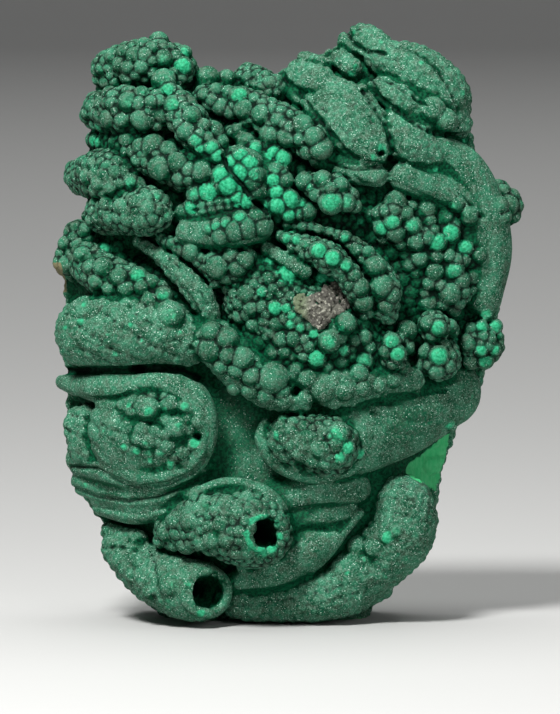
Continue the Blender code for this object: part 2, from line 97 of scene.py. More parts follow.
# %% Outline and skin of the block
FRONT_DEPTH = 90.0       # from the middle plane to the front, in grid steps
BACK_DEPTH = 118.0       # and to the back, before it is broken off
SHELTER = 13.0           # the block is kept lower than that, so that gaps between fingers are deep
RAISED = 2.0             # and the axis of each finger is kept higher
FATTER = 0.2             # thick fingers are drawn thin, so that the points stay on their backs
CENTRE = (280.0, 330.0)  # of the outline
OUTLINE = [
    (282, 78), (300, 58), (335, 52), (352, 32), (385, 42), (420, 56), (450, 84), (466, 118),
    (478, 165), (498, 200), (506, 250), (500, 300), (492, 345), (478, 390), (455, 428), (441, 470),
    (434, 520), (424, 562), (380, 588), (356, 646), (300, 650), (230, 650), (192, 645), (145, 598),
    (114, 560), (104, 525), (86, 497), (70, 470), (74, 425), (66, 385), (64, 340), (66, 300),
    (64, 262), (80, 232), (94, 200), (78, 176), (96, 142), (92, 112), (102, 76), (128, 54),
    (160, 42), (188, 64), (205, 80), (240, 76),
]
SWELLS = [  # x, y, radius, height
    (300, 315, 75, 16), (250, 455, 44, 0), (330, 500, 42, -4), (356, 62, 16, -24),
    (140, 258, 22, -18), (425, 250, 48, -8), (255, 190, 45, 7), (340, 275, 45, 7),
    (150, 430, 50, 14), (232, 525, 45, 18), (180, 590, 35, 18), (395, 530, 40, 14),
    (315, 445, 45, 12), (225, 300, 14, -8), (170, 180, 18, 0),
    (425, 468, 30, -34),
]


def smooth_outline(samples):
    """Radius of the outline at evenly spaced angles about its middle."""
    corners = np.array(OUTLINE, float) - CENTRE
    angles = np.arctan2(corners[:, 1], corners[:, 0])
    radii = np.hypot(corners[:, 0], corners[:, 1])
    order = np.argsort(angles)
    around = np.linspace(-math.pi, math.pi, samples, endpoint=False)
    exact = np.interp(around, angles[order], radii[order], period=2 * math.pi)
    padded = np.concatenate([exact[-3:], exact, exact[:3]])
    return around, np.minimum(exact, np.convolve(padded, np.ones(7) / 7, "valid"))


ANGLES, RADII = smooth_outline(180)


def reach(x, y):
    """How far a grid point lies from the middle: 0 at the middle, 1 on the outline."""
    across = x - CENTRE[0]
    down = y - CENTRE[1]
    limit = np.interp(np.arctan2(down, across), ANGLES, RADII, period=2 * math.pi)
    return np.hypot(across, down) / limit


def closeness(x, y, spot_x, spot_y, radius):
    """1 at a spot of the grid, fading to nothing a couple of radii away."""
    return np.exp(-((x - spot_x) ** 2 + (y - spot_y) ** 2) / radius ** 2)


def front_skin(x, y):
    """Height of the block's front above its middle plane, in grid steps."""
    out = np.clip(reach(x, y), 0, 1)
    height = FRONT_DEPTH * (1 - out ** 4) ** 0.7
    fade = np.clip((1.05 - out) * 4, 0, 1)
    for swell_x, swell_y, radius, amount in SWELLS:
        height = height + fade * amount * closeness(x, y, swell_x, swell_y, radius)
    return height


def placed(name, data):
    """An object in the scene that carries a mesh, a lamp or a camera."""
    made = bpy.data.objects.new(name, data)
    bpy.context.scene.collection.objects.link(made)
    return made


def new_object(name, vertices, faces):
    """A mesh object in the scene."""
    mesh = bpy.data.meshes.new(name)
    mesh.from_pydata(np.asarray(vertices).tolist(), [], faces)
    return placed(name, mesh)


def make_block(rings=40):
    """The block: rings from the front's middle round to the back's middle."""
    loops = []
    spread = np.linspace(0.02, 1, rings)
    for share in spread:
        x = CENTRE[0] + np.cos(ANGLES) * RADII * share
        y = CENTRE[1] + np.sin(ANGLES) * RADII * share
        front = np.maximum(front_skin(x, y) - SHELTER, -20) * (1 - share ** 16)
        loops.append(spot(x, y, front))
    for share in spread[-2::-1]:
        x = CENTRE[0] + np.cos(ANGLES) * RADII * share
        y = CENTRE[1] + np.sin(ANGLES) * RADII * share
        loops.append(spot(x, y, -BACK_DEPTH * (1 - share ** 14)))
    count = len(ANGLES)
    faces = [tuple(reversed(range(count)))]
    for row in range(len(loops) - 1):
        for step in range(count):
            first = row * count + step
            second = row * count + (step + 1) % count
            faces.append((first, second, second + count, first + count))
    last = (len(loops) - 1) * count
    faces.append(tuple(range(last, last + count)))
    return new_object("block", np.concatenate(loops), faces)


block = make_block()
print("block:", len(block.data.polygons), "faces")

# %% [markdown]
# ## Fingers, folds and domes
#
# Every finger is a few points that a maker would pick along its back: column, row, radius and lift.
# Beside them stands its finish. Plain skin is `smooth`, `dimpled` and `scaly` have shallow bumps far
# apart or close together, and `fine`, `medium` and `coarse` carry standing knobs. A number after the
# finish is the flatness, the share of its thickness that a dome keeps from front to back. The points
# are strung on one smooth curve.

# %% The table of fingers
SMOOTH, DIMPLED, FINE, MEDIUM, COARSE, SCALY = range(6)
FINGERS = {
    # upper left: rows of knobby fingers, stacked like a bunch of grapes
    "crown": (MEDIUM, 1, [(113, 70, 19, 2), (145, 64, 21, 6), (176, 66, 18, 4)]),
    "crown_peak": (MEDIUM, 1, [(158, 50, 13, -6), (161, 60, 13, 4)]),
    "crown_right": (MEDIUM, 1, [(164, 86, 12, 6), (182, 74, 12, 8)]),
    "second_row": (MEDIUM, 1, [(101, 112, 17, 0), (127, 112, 21, 4), (154, 112, 19, 6)]),
    "diagonal": (MEDIUM, 1, [(172, 96, 12, 6), (190, 125, 17, 10), (212, 155, 16, 8)]),
    "third_row": (MEDIUM, 1, [(96, 140, 10, -8), (128, 146, 13, -6), (160, 162, 17, 0), (198, 178, 16, 2)]),
    "left_bulb": (MEDIUM, 1, [(84, 176, 17, 0), (112, 177, 22, 6), (135, 184, 11, 8)]),
    "left_bulb_low": (SCALY, 1, [(108, 213, 19, 2), (150, 212, 21, 8)]),
    "bright_pair": (MEDIUM, 1, [(194, 197, 9, 4), (209, 195, 10, 6)]),
    "bright_block": (SMOOTH, 1, [(223, 186, 13, 6), (231, 190, 12, 6)]),
    "bright_top": (SMOOTH, 1, [(238, 162, 13, 6), (246, 168, 15, 8)]),
    "bright_cone": (SMOOTH, 1, [(254, 180, 13, 7), (260, 194, 10, 4)]),
    "banana_high": (SMOOTH, 1, [(184, 215, 8, 0), (215, 212, 12, 4), (244, 205, 11, 6)]),
    "banana_low": (SMOOTH, 1, [(190, 234, 12, 4), (225, 233, 16, 8), (256, 227, 15, 8)]),
    # upper middle: two long knobby fingers and two smooth tear-shaped ones
    "notch_knob": (SCALY, 1, [(250, 80, 14, 0), (268, 91, 16, 4)]),
    "notch_cluster": (MEDIUM, 1, [(203, 86, 13, -4), (226, 86, 12, -2)]),
    "long_cluster": (MEDIUM, 1, [(203, 98, 11, -2), (240, 106, 15, 6), (278, 124, 17, 10),
                                 (316, 146, 17, 10)]),
    "cluster_under": (MEDIUM, 1, [(236, 134, 11, -6), (258, 150, 11, -2), (284, 160, 10, -2)]),
    "inner_cluster": (MEDIUM, 1, [(279, 158, 10, 2), (281, 172, 11, 2), (283, 186, 11, 0)]),
    "emerald_cluster": (MEDIUM, 1, [(276, 200, 12, 4), (286, 208, 13, 4), (304, 213, 9, 2)]),
    "slim_dark": (SMOOTH, 1, [(285, 88, 9, -8), (300, 102, 7, -6)]),
    "long_finger": (DIMPLED, 1, [(310, 106, 10, 0), (340, 131, 17, 6), (370, 153, 17, 8)]),
    "long_finger_upper": (DIMPLED, 1, [(332, 92, 13, 0), (355, 112, 19, 4), (374, 138, 16, 4)]),
    "long_finger_body": (DIMPLED, 1, [(328, 104, 14, 0), (348, 124, 20, 2), (366, 144, 20, 2)]),
    "under_finger": (SMOOTH, 1, [(318, 163, 9, -4), (348, 172, 12, 0), (375, 178, 11, 4)]),
    "top_scale": (DIMPLED, 1, [(305, 60, 9, -4), (324, 66, 9, -2)]),
    "top_lobe": (DIMPLED, 1, [(300, 77, 14, 0), (320, 85, 15, 2)]),
    "top_tongue": (DIMPLED, 1, [(340, 60, 10, -4), (350, 70, 11, 0)]),
    # upper right: a horn, a broad petal and long draped folds
    "horn": (DIMPLED, 1, [(352, 44, 13, -4), (363, 42, 16, -2), (378, 50, 14, 2)]),
    "petal": (DIMPLED, 1, [(380, 58, 15, 2), (412, 74, 25, 4), (440, 100, 27, 2), (454, 124, 15, 0)]),
    "petal_knob": (DIMPLED, 1, [(428, 117, 11, 16), (443, 124, 12, 18)]),
    "finger_a": (DIMPLED, 1, [(378, 88, 11, 2), (400, 104, 14, 6), (414, 116, 12, 6)]),
    "lobe_c": (DIMPLED, 1, [(391, 126, 13, 2), (408, 144, 19, 6), (432, 158, 15, 4)]),
    "drape_high": (SMOOTH, 1, [(432, 152, 15, 4), (457, 172, 22, 4), (476, 205, 22, 2), (486, 250, 21, -4),
                               (482, 298, 16, -2)]),
    "drape_low": (SMOOTH, 1, [(402, 179, 13, 4), (436, 190, 16, 2), (462, 210, 17, 0), (474, 245, 15, -2),
                              (478, 280, 13, -2)]),
    "right_knob": (SCALY, 1, [(499, 196, 14, 0), (503, 206, 16, 3)]),
    # right: a bed of loose knobs inside the drapes
    "crack_bed": (SMOOTH, 1, [(262, 158, 11, -4), (268, 178, 13, -3), (268, 198, 11, -2)]),
    "field": (COARSE, 0.7, [(392, 222, 24, -8), (425, 245, 38, -16), (440, 285, 28, -12)]),
    # centre: knobby ridges that fan out, and the central dome
    "rosette": (MEDIUM, 1, [(306, 184, 11, 6), (332, 195, 16, 10), (350, 205, 11, 6)]),
    "ridge_one": (FINE, 1, [(285, 227, 5, -2), (315, 230, 6, 0), (345, 241, 8, 2), (368, 262, 11, 6),
                            (383, 288, 14, 8), (384, 313, 12, 4)]),
    "ridge_two": (FINE, 1, [(282, 238, 7, 2), (300, 246, 11, 6), (325, 258, 14, 10), (345, 273, 12, 10),
                            (358, 295, 12, 8), (365, 313, 9, 4)]),
    "ridge_three": (DIMPLED, 1, [(268, 250, 7, 2), (286, 262, 8, 4), (303, 272, 8, 4)]),
    "dome_left": (COARSE, 1, [(222, 268, 15, 6), (245, 264, 13, 8)]),
    "dome": (FINE, 0.75, [(265, 300, 36, -14), (300, 330, 48, -18), (345, 345, 38, -18)]),
    "broken_chunk": (DIMPLED, 1, [(344, 323, 11, 12), (328, 341, 12, 12)]),
    "dome_shelf": (DIMPLED, 1, [(300, 374, 15, 2), (335, 384, 20, 2), (375, 380, 17, -2),
                                (408, 378, 14, -4)]),
    # right middle: round knob clusters
    "cluster_one": (FINE, 1, [(391, 344, 13, 6), (390, 354, 14, 8)]),
    "cluster_one_side": (FINE, 1, [(407, 329, 9, 2), (406, 347, 8, 2)]),
    "cluster_two": (FINE, 1, [(432, 327, 14, 6), (449, 330, 9, 0)]),
    "cluster_three": (FINE, 1, [(437, 358, 19, 4)]),
    "cluster_four": (FINE, 1, [(478, 341, 22, 0)]),
    # a smooth skirt below the dome, with the knobby eye let into it
    "skirt": (SMOOTH, 0.7, [(352, 430, 38, -18), (400, 410, 38, -23), (445, 392, 30, -25)]),
    "skirt_hem": (SMOOTH, 1, [(350, 464, 11, -8), (395, 450, 10, -12), (438, 428, 9, -18),
                              (466, 402, 9, -20)]),
    "eye": (SCALY, 1, [(292, 440, 22, 3), (328, 445, 26, 5)]),
    "eye_rim": (SMOOTH, 1, [(265, 424, 6, 0), (263, 440, 8, 2), (280, 463, 9, 4), (312, 474, 9, 4),
                            (345, 468, 9, 0)]),
    # left: a knobby cap and fan, a striped finger and the smooth shoulder that it runs into
    "left_cap": (MEDIUM, 1, [(80, 238, 15, 0), (72, 262, 15, -2)]),
    "left_fan": (MEDIUM, 1, [(88, 262, 17, 2), (105, 275, 18, 4), (130, 283, 16, 6), (165, 295, 11, 6)]),
    "striped": (DIMPLED, 1, [(140, 243, 6, 0), (163, 258, 9, 4), (185, 278, 11, 6), (203, 301, 12, 6),
                             (211, 317, 10, 4)]),
    "striped_small": (FINE, 1, [(166, 241, 7, 0), (185, 251, 9, 4), (205, 264, 9, 2), (216, 282, 8, 0)]),
    "shoulder": (DIMPLED, 0.9, [(94, 333, 32, 2), (122, 332, 33, 4), (158, 331, 31, 4), (184, 340, 23, 2)]),
    "band": (DIMPLED, 1, [(213, 340, 19, 4), (245, 366, 22, 6), (275, 388, 19, 4), (300, 400, 12, 2)]),
    # lower left: a bulb in a rolled rim, wrapped by smooth folds
    "fold_tip": (SMOOTH, 1, [(63, 382, 8, -4), (82, 386, 11, 0), (110, 388, 14, 4), (136, 388, 13, 6)]),
    "bulb": (SMOOTH, 0.7, [(137, 430, 40, -13), (167, 430, 40, -13)]),
    "bulb_rim": (SMOOTH, 1, [(132, 388, 11, 4), (165, 383, 13, 6), (194, 398, 14, 8), (204, 430, 13, 8),
                              (192, 462, 12, 4), (160, 474, 10, 2)]),
    "bulb_side": (DIMPLED, 1, [(90, 428, 22, -4), (93, 448, 20, -4)]),
    "inner_one": (SCALY, 1, [(131, 407, 13, 6), (149, 409, 15, 7)]),
    "inner_two": (SCALY, 1, [(170, 404, 13, 6), (188, 407, 12, 6)]),
    "inner_three": (SCALY, 1, [(176, 426, 16, 6), (194, 422, 13, 6)]),
    "inner_four": (SCALY, 1, [(147, 433, 15, 6), (153, 436, 15, 6)]),
    "inner_five": (SCALY, 1, [(116, 423, 12, 3), (128, 434, 12, 4)]),
    "inner_six": (SCALY, 1, [(162, 448, 12, 5), (172, 445, 12, 4)]),
    "inner_seven": (SCALY, 1, [(182, 450, 15, 4), (194, 440, 12, 4)]),
    "inner_row": (SCALY, 1, [(118, 442, 8, 0), (134, 453, 8, 2), (152, 458, 8, 2), (172, 461, 9, 0)]),
    "fold_a": (SMOOTH, 1, [(84, 459, 15, -2), (116, 467, 15, 3), (155, 474, 14, 4), (188, 466, 12, 2),
                           (203, 450, 9, -4)]),
    "fold_b": (SMOOTH, 1, [(86, 482, 13, 0), (118, 492, 12, 4), (155, 494, 11, 2), (190, 481, 9, -3),
                           (209, 466, 7, -12)]),
    "fold_c": (SMOOTH, 1, [(104, 503, 12, 0), (135, 512, 11, 2), (168, 507, 10, 0), (194, 490, 7, -10)]),
    "wedge": (DIMPLED, 1, [(112, 532, 11, 0), (140, 538, 9, 2)]),
    # bottom: two tubes that open to the front, and the folds and lobes of the foot
    "tube_one": (SCALY, 1, [(172, 530, 16, 2), (205, 522, 25, 8), (240, 526, 31, 12), (256, 530, 31, 15)]),
    "tube_one_rim": (SMOOTH, 1, [(190, 496, 6, 4), (225, 484, 8, 7), (262, 493, 10, 9), (283, 520, 10, 8),
                                 (280, 552, 10, 5), (245, 563, 9, 3)]),
    "tube_two": (DIMPLED, 1, [(124, 548, 19, 2), (150, 570, 24, 10), (182, 586, 26, 18),
                              (200, 589, 26, 24)]),
    "saddle_high": (SMOOTH, 1, [(278, 498, 17, -12), (318, 488, 19, -14), (352, 488, 15, -14)]),
    "saddle_fold": (SMOOTH, 1, [(288, 522, 13, -6), (318, 515, 13, -6), (346, 511, 11, -8)]),
    "wave": (SMOOTH, 1, [(236, 580, 11, 2), (275, 565, 19, 3), (306, 548, 18, 1), (330, 536, 12, -2)]),
    "wave_edge": (SMOOTH, 1, [(258, 586, 5, 4), (296, 576, 6, 6), (323, 556, 6, 6), (344, 530, 5, 2),
                              (360, 512, 4, 0)]),
    "foot": (DIMPLED, 1, [(403, 505, 26, -2), (400, 532, 29, 0), (376, 558, 28, 2), (350, 576, 22, 2)]),
    "bottom_lobe": (DIMPLED, 1, [(240, 603, 14, 6), (288, 599, 19, 8), (336, 592, 22, 8),
                                 (372, 580, 20, 0)]),
}
KNOB_RADIUS = {SMOOTH: 0, DIMPLED: 2, FINE: 5.2, MEDIUM: 6.8, COARSE: 8.5, SCALY: 3.5}
KNOB_SHARE = 0.6  # how much of that radius a finger is drawn thinner, to leave its knobs room
SIDE_ROWS = [(30, 14, 22), (27, 46, 24), (22, 76, 24)]  # lobes round the flanks: count, depth, radius
SEED = 7


def smooth_curve(points, per_span=6):
    """A Catmull-Rom curve through rows of x, y, z, radius."""
    points = np.array(points, float)
    if len(points) == 1:
        nudge = np.array([0.5 * GRID, 0, 0, 0])
        return np.array([points[0] - nudge, points[0] + nudge])
    ghosts = np.vstack([2 * points[0] - points[1], points, 2 * points[-1] - points[-2]])
    curve = []
    for span in range(1, len(ghosts) - 2):
        before, start, stop, after = ghosts[span - 1:span + 3]
        for t in np.linspace(0, 1, per_span, endpoint=False):
            bend = 2 * before - 5 * start + 4 * stop - after
            twist = 3 * start - before - 3 * stop + after
            curve.append(0.5 * (2 * start + (stop - before) * t + bend * t ** 2 + twist * t ** 3))
    curve.append(points[-1])
    return np.array(curve)


BLUNT = 0.02  # radius left at a strand's very tip, as a share of its own


def round_ends(curve, steps=6):
    """Carry both ends of a curve on while its radius shrinks to a point, for hemispherical tips."""
    angles = np.linspace(0, math.pi / 2, steps + 1)[1:]
    tips = []
    for end, inner in ((curve[0], curve[1]), (curve[-1], curve[-2])):
        out = end[:3] - inner[:3]
        out /= np.linalg.norm(out)
        tips.append(np.array([(*(end[:3] + out * end[3] * math.sin(a)), end[3] * max(math.cos(a), BLUNT))
                              for a in angles]))
    return np.vstack([tips[0][::-1], curve, tips[1]])


def finger_curve(points, shrink):
    """The axis of a finger on the block's front: rows of x, y, z, radius in metres."""
    rows = []
    for x, y, drawn, lift in points:
        radius = drawn * (1 + FATTER * np.clip((drawn - 9) / 5, 0, 1))
        height = front_skin(x, y) + lift + RAISED - 0.5 * (radius - drawn)
        rows.append((*spot(x, y, height), (radius - shrink) * GRID))
    return smooth_curve(rows)


def side_lobes():
    """Short fat lobes round the block's flanks, behind the front's fingers."""
    random = np.random.RandomState(SEED)
    found = []
    for count, depth, radius in SIDE_ROWS:
        for index in range(count):
            angle = (index + random.uniform(0.25, 0.75)) / count * 2 * math.pi - math.pi
            size = radius * random.uniform(0.8, 1.2)
            limit = np.interp(angle, ANGLES, RADII, period=2 * math.pi) - 1.05 * size - 0.1 * depth
            slant = random.uniform(-0.6, 0.6) * size / limit
            ends = []
            for turn in (-0.5, 0.5):
                x = CENTRE[0] + math.cos(angle + turn * slant) * limit
                y = CENTRE[1] + math.sin(angle + turn * slant) * limit
                ends.append((*spot(x, y, -depth - turn * size), size * GRID))
            found.append(smooth_curve(ends))
    return found


def rooted(curve):
    """The same axis pushed into the block, so that no finger hangs in the air."""
    root = curve.copy()
    root[:, 1] += 0.7 * curve[:, 3] + 7 * GRID
    root[:, 3] *= 0.85
    return root


strands = []
for finish, flatness, points in FINGERS.values():
    axis = finger_curve(points, KNOB_SHARE * KNOB_RADIUS[finish])
    strands += [(finish, flatness, axis), (finish, 1, rooted(axis))]
strands += [(DIMPLED, 1, lobe) for lobe in side_lobes()]
print(len(FINGERS), "fingers and", len(strands) - 2 * len(FINGERS), "side lobes")

# %% [markdown]
# ## Sweeping the fingers with Geometry Nodes
#
# A finger is a round section drawn along a curve, thick or thin by the curve's radius. Curve to Mesh
# does that for all strands at once. Some domes are flatter from front to back, so the node tree
# remembers where the axis was and pulls each point back towards it.


# %% Tree that sweeps the strands
STRAND_SIDES = 20
BORE_SIDES = 18


def new_tree(name, sockets):
    """An empty geometry tree with named inputs: socket name to (type, default)."""
    tree = bpy.data.node_groups.new(name, "GeometryNodeTree")
    tree.interface.new_socket("Geometry", in_out="INPUT", socket_type="NodeSocketGeometry")
    tree.interface.new_socket("Geometry", in_out="OUTPUT", socket_type="NodeSocketGeometry")
    for label, (kind, default) in sockets.items():
        socket = tree.interface.new_socket(label, in_out="INPUT", socket_type=kind)
        if default is not None:
            socket.default_value = default
    return tree, tree.nodes.new("NodeGroupInput"), tree.nodes.new("NodeGroupOutput")


def node(tree, kind, links=None, **settings):
    """A node with its settings made and its inputs linked or filled: input name or index to value."""
    made = tree.nodes.new(kind)
    for label, value in settings.items():
        setattr(made, label, value)
    for label, value in (links or {}).items():
        if isinstance(value, bpy.types.NodeSocket):
            tree.links.new(value, made.inputs[label])
        else:
            made.inputs[label].default_value = value
    return made


def figure(tree, operation, one, two=0.0):
    """The result of a Math node."""
    return node(tree, "ShaderNodeMath", {0: one, 1: two}, operation=operation).outputs[0]


def vector(tree, operation, one, others):
    """The result of a Vector Math node; others are its further inputs."""
    return node(tree, "ShaderNodeVectorMath", {0: one, **others}, operation=operation).outputs[0]


def attribute(tree, name, kind="FLOAT"):
    """A value that the geometry carries under a name."""
    return node(tree, "GeometryNodeInputNamedAttribute", {"Name": name}, data_type=kind).outputs[0]


def finish_off(tree, given, result, geometry):
    """End a tree: real geometry in the given material."""
    real = node(tree, "GeometryNodeRealizeInstances", {"Geometry": geometry})
    coated = node(tree, "GeometryNodeSetMaterial",
                  {"Geometry": real.outputs[0], "Material": given.outputs["Material"]})
    tree.links.new(coated.outputs[0], result.inputs[0])


def run_tree(target, tree, values):
    """Turn an object into the plain mesh that a geometry tree makes of it."""
    modifier = target.modifiers.new(tree.name, "NODES")
    modifier.node_group = tree
    for item in tree.interface.items_tree:
        if item.in_out == "INPUT" and item.name in values:
            modifier[item.identifier] = values[item.name]
    graph = bpy.context.evaluated_depsgraph_get()
    mesh = bpy.data.meshes.new_from_object(target.evaluated_get(graph))
    target.modifiers.clear()
    return mesh


def sweep_tree():
    """Curve to Mesh with a round section, flattened front to back by the `flatness` attribute."""
    tree, given, result = new_tree("sweep strands", {
        "Sides": ("NodeSocketInt", STRAND_SIDES),
        "Material": ("NodeSocketMaterial", None),
    })
    curve = node(tree, "GeometryNodeMeshToCurve", {"Mesh": given.outputs["Geometry"]})
    ring = node(tree, "GeometryNodeCurvePrimitiveCircle",
                {"Resolution": given.outputs["Sides"], "Radius": 1.0})
    here = node(tree, "GeometryNodeInputPosition").outputs[0]
    axis = node(tree, "GeometryNodeStoreNamedAttribute",
                {"Geometry": curve.outputs[0], "Name": "axis", "Value": here}, data_type="FLOAT_VECTOR")
    swept = node(tree, "GeometryNodeCurveToMesh", {
        "Curve": axis.outputs[0], "Profile Curve": ring.outputs[0], "Scale": attribute(tree, "thickness"),
        "Fill Caps": True})
    away = vector(tree, "SUBTRACT", here, {1: attribute(tree, "axis", "FLOAT_VECTOR")})
    squeeze = figure(tree, "SUBTRACT", attribute(tree, "flatness"), 1.0)
    along = node(tree, "ShaderNodeCombineXYZ", {"Y": squeeze})
    shift = vector(tree, "MULTIPLY", away, {1: along.outputs[0]})
    moved = node(tree, "GeometryNodeSetPosition", {"Geometry": swept.outputs[0], "Offset": shift})
    finish_off(tree, given, result, moved.outputs[0])
    return tree


def store(mesh, name, values):
    """Keep one number for each vertex on the mesh."""
    column = np.asarray(values, np.float32)
    mesh.attributes.new(name, "FLOAT", "POINT").data.foreach_set("value", column)


def strand_lines(name, rows):
    """Poly-lines for the sweep tree, from (finish, flatness, curve) rows."""
    rounded = [(finish, flatness, round_ends(curve)) for finish, flatness, curve in rows]
    places = np.vstack([curve for _, _, curve in rounded])
    edges = []
    start = 0
    for _, _, curve in rounded:
        edges += [(index, index + 1) for index in range(start, start + len(curve) - 1)]
        start += len(curve)
    mesh = bpy.data.meshes.new(name)
    mesh.from_pydata(places[:, :3].tolist(), edges, [])
    columns = {
        "thickness": places[:, 3],
        "finish": np.concatenate([np.full(len(curve), finish) for finish, _, curve in rounded]),
        "flatness": np.concatenate([np.full(len(curve), flatness) for _, flatness, curve in rounded]),
    }
    for label, column in columns.items():
        store(mesh, label, column)
    return placed(name, mesh)


print("sweep tree with inputs Sides and Material is defined")

# %% [markdown]
# ## The stone's colours
#
# The colour is copper: pure malachite is a saturated green, and a velvet of crystals 0.2 mm long
# scatters so much light that it looks grey-green with white glints, which are painted highlights.
# Where the velvet is rubbed off a knob's top, the bright emerald below it shows. Valleys that light
# barely reaches are painted a deep green, as painted shade. All that is one node material that reads
# what the mesh says about each place. First come small tools that each make one or two nodes, so
# that the recipes below read like a maker's notes.


# %% Material nodes
def srgb(red, green, blue):
    """Linear colour from display values of 0 to 255."""
    shares = [value / 255 for value in (red, green, blue)]
    return (*(v / 12.92 if v <= 0.04045 else ((v + 0.055) / 1.055) ** 2.4 for v in shares), 1)


def new_material(name, roughness):
    """A node material with its surface shader."""
    made = bpy.data.materials.new(name)
    made.use_nodes = True
    surface = made.node_tree.nodes["Principled BSDF"]
    surface.inputs["Roughness"].default_value = roughness
    return made, made.node_tree, surface


def reading(tree, name):
    """One of the mesh's own values."""
    return node(tree, "ShaderNodeAttribute", attribute_name=name, attribute_type="GEOMETRY").outputs["Fac"]


def noise(tree, place, scale, detail=2.0, roughness=0.5):
    """Soft noise; scale counts waves per metre."""
    return node(tree, "ShaderNodeTexNoise",
                {"Vector": place, "Scale": scale, "Detail": detail, "Roughness": roughness}).outputs["Fac"]


def cells(tree, place, scale):
    """Crystal cells; scale counts cells per metre."""
    return node(tree, "ShaderNodeTexVoronoi", {"Vector": place, "Scale": scale})


def ramp(tree, value, low, high, smooth=True):
    """0 below low, 1 above high."""
    made = node(tree, "ShaderNodeMapRange", {"Value": value, "From Min": low, "From Max": high})
    made.interpolation_type = "SMOOTHSTEP" if smooth else "LINEAR"
    return made.outputs["Result"]


def times(tree, one, *others):
    """Product of two or more values."""
    for other in others:
        one = figure(tree, "MULTIPLY", one, other)
    return one


def plus(tree, one, two):
    """Sum of two values."""
    return figure(tree, "ADD", one, two)


def blend(tree, factor, one, two):
    """One colour turned into another by a factor."""
    return node(tree, "ShaderNodeMix", {0: factor, 6: one, 7: two}, data_type="RGBA").outputs[2]


def bump(tree, height, strength, distance, under=None):
    """Fine relief that the mesh is too coarse for."""
    made = node(tree, "ShaderNodeBump", {"Height": height, "Strength": strength, "Distance": distance})
    if under is not None:
        tree.links.new(under, made.inputs["Normal"])
    return made.outputs[0]


print("material helpers are defined; a malachite green is", [round(v, 3) for v in srgb(14, 124, 82)[:3]])

# %% [markdown]
# ## The skin that grew: clean green and velvet, with painted light and shade, frost and glints
#
# The velvet is a nap of tiny crystals. A few of them catch the lamp, some catch a little of it, and
# most only scatter it. Painting single crystals would take millions of strokes, so every Voronoi
# cell is one crystal, and its random colour decides what it does; the frost and glints are painted
# highlights. The velvet goes on what faces the lamp as painted light, and where a knob turns away
# from the light the clean dark green of its side is painted in as painted shade.

# %% Colours of the grown skin, with painted light and shade
CLOUDS, PATCHES, PEBBLES, FLECKS, CRYSTALS = 260, 900, 1500, 1900, 4200  # waves or cells per metre
CLEAN_IN_SHADE = srgb(1, 42, 26), srgb(6, 74, 46)          # bare green of the stone, painted as shade on the sides of knobs and in hollows
VELVET = srgb(10, 66, 43), srgb(39, 100, 74)      # the grey-green nap
DUST = srgb(74, 86, 74)                           # a greyer bloom on parts of it
FROST_HIGHLIGHT = srgb(120, 168, 144)                       # painted highlight: crystals that catch a little light
GLINT = srgb(220, 240, 226)                       # painted highlight: crystals that mirror the lamp


def velvet_and_light_cover(tree):
    """How thickly the velvet covers a place: painted light on what faces the lamp, thinner in greener areas
    and in listed painted shade.
    """
    lit = ramp(tree, reading(tree, "top"), 0.3, 0.95)
    return times(tree, lit, ramp(tree, reading(tree, "rich_and_shade"), 1.5, 0.2))


def grown_colour(tree, place, fleck, patchy, grain):
    """Clean green below as painted shade, velvet above as painted light, and crystals with painted frost or
    glint highlights.
    """
    cover = velvet_and_light_cover(tree)
    druse = reading(tree, "velvet")
    chance = node(tree, "ShaderNodeSeparateColor", {0: grain.outputs["Color"]}).outputs
    green = blend(tree, ramp(tree, fleck, 0.35, 0.65), *CLEAN_IN_SHADE)
    velvet = blend(tree, ramp(tree, noise(tree, place, CLOUDS, 3), 0.35, 0.65), *VELVET)
    velvet = blend(tree, times(tree, ramp(tree, patchy, 0.42, 0.7), 0.5), velvet, DUST)
    # painted light and shade: velvet where the place faces the lamp, clean dark green where it turns away or
    # lies hidden
    colour = blend(tree, cover, green, velvet)
    # painted highlights: frost and glints on crystal cells, only where the velvet faces the lamp
    frost_highlight = times(tree, ramp(tree, chance[1], 0.45, 1.0, False), ramp(tree, cover, 0.1, 0.9), druse)
    colour = blend(tree, times(tree, frost_highlight, 0.34), colour, FROST_HIGHLIGHT)
    flash = times(tree, ramp(tree, chance[0], 0.79, 0.99, False), ramp(tree, cover, 0.0, 0.6),
                  ramp(tree, grain.outputs["Distance"], 0.6, 0.2))
    flash = times(tree, flash, ramp(tree, patchy, 0.75, 0.3))
    return blend(tree, times(tree, flash, ramp(tree, druse, 0.0, 0.9), 0.85), colour, GLINT)


print("one crystal is about", round(1000 / CRYSTALS, 2), "mm across")

# %% [markdown]
# ## Broken faces
#
# Malachite is layered like an onion, because it grew film by film round many centres. A break cuts
# through the layers, so its face shows curved light and dark bands with fibres across them. The
# distance to the nearest Voronoi centre, disturbed a little, feeds a one-dimensional noise: that
# makes bands which close round each centre, as real ones do.

# %% Colours of the broken faces
FIBRES, CENTRES, WOBBLE = 1600, 34, 120           # waves or cells per metre
BANDING = 17.0                                    # how many bands lie between two centres
BANDS = srgb(6, 66, 38), srgb(58, 150, 100)       # dark and light layers
FRESH = srgb(50, 158, 98)                         # the small fresh break in the right flank
FIBRE = srgb(96, 172, 122)                        # silky fibres across the layers
SHARD = srgb(78, 78, 56), srgb(122, 116, 88)      # brown matrix that shows at the left edge
ALONG_FIBRE = (1.0, 1.0, 0.16)


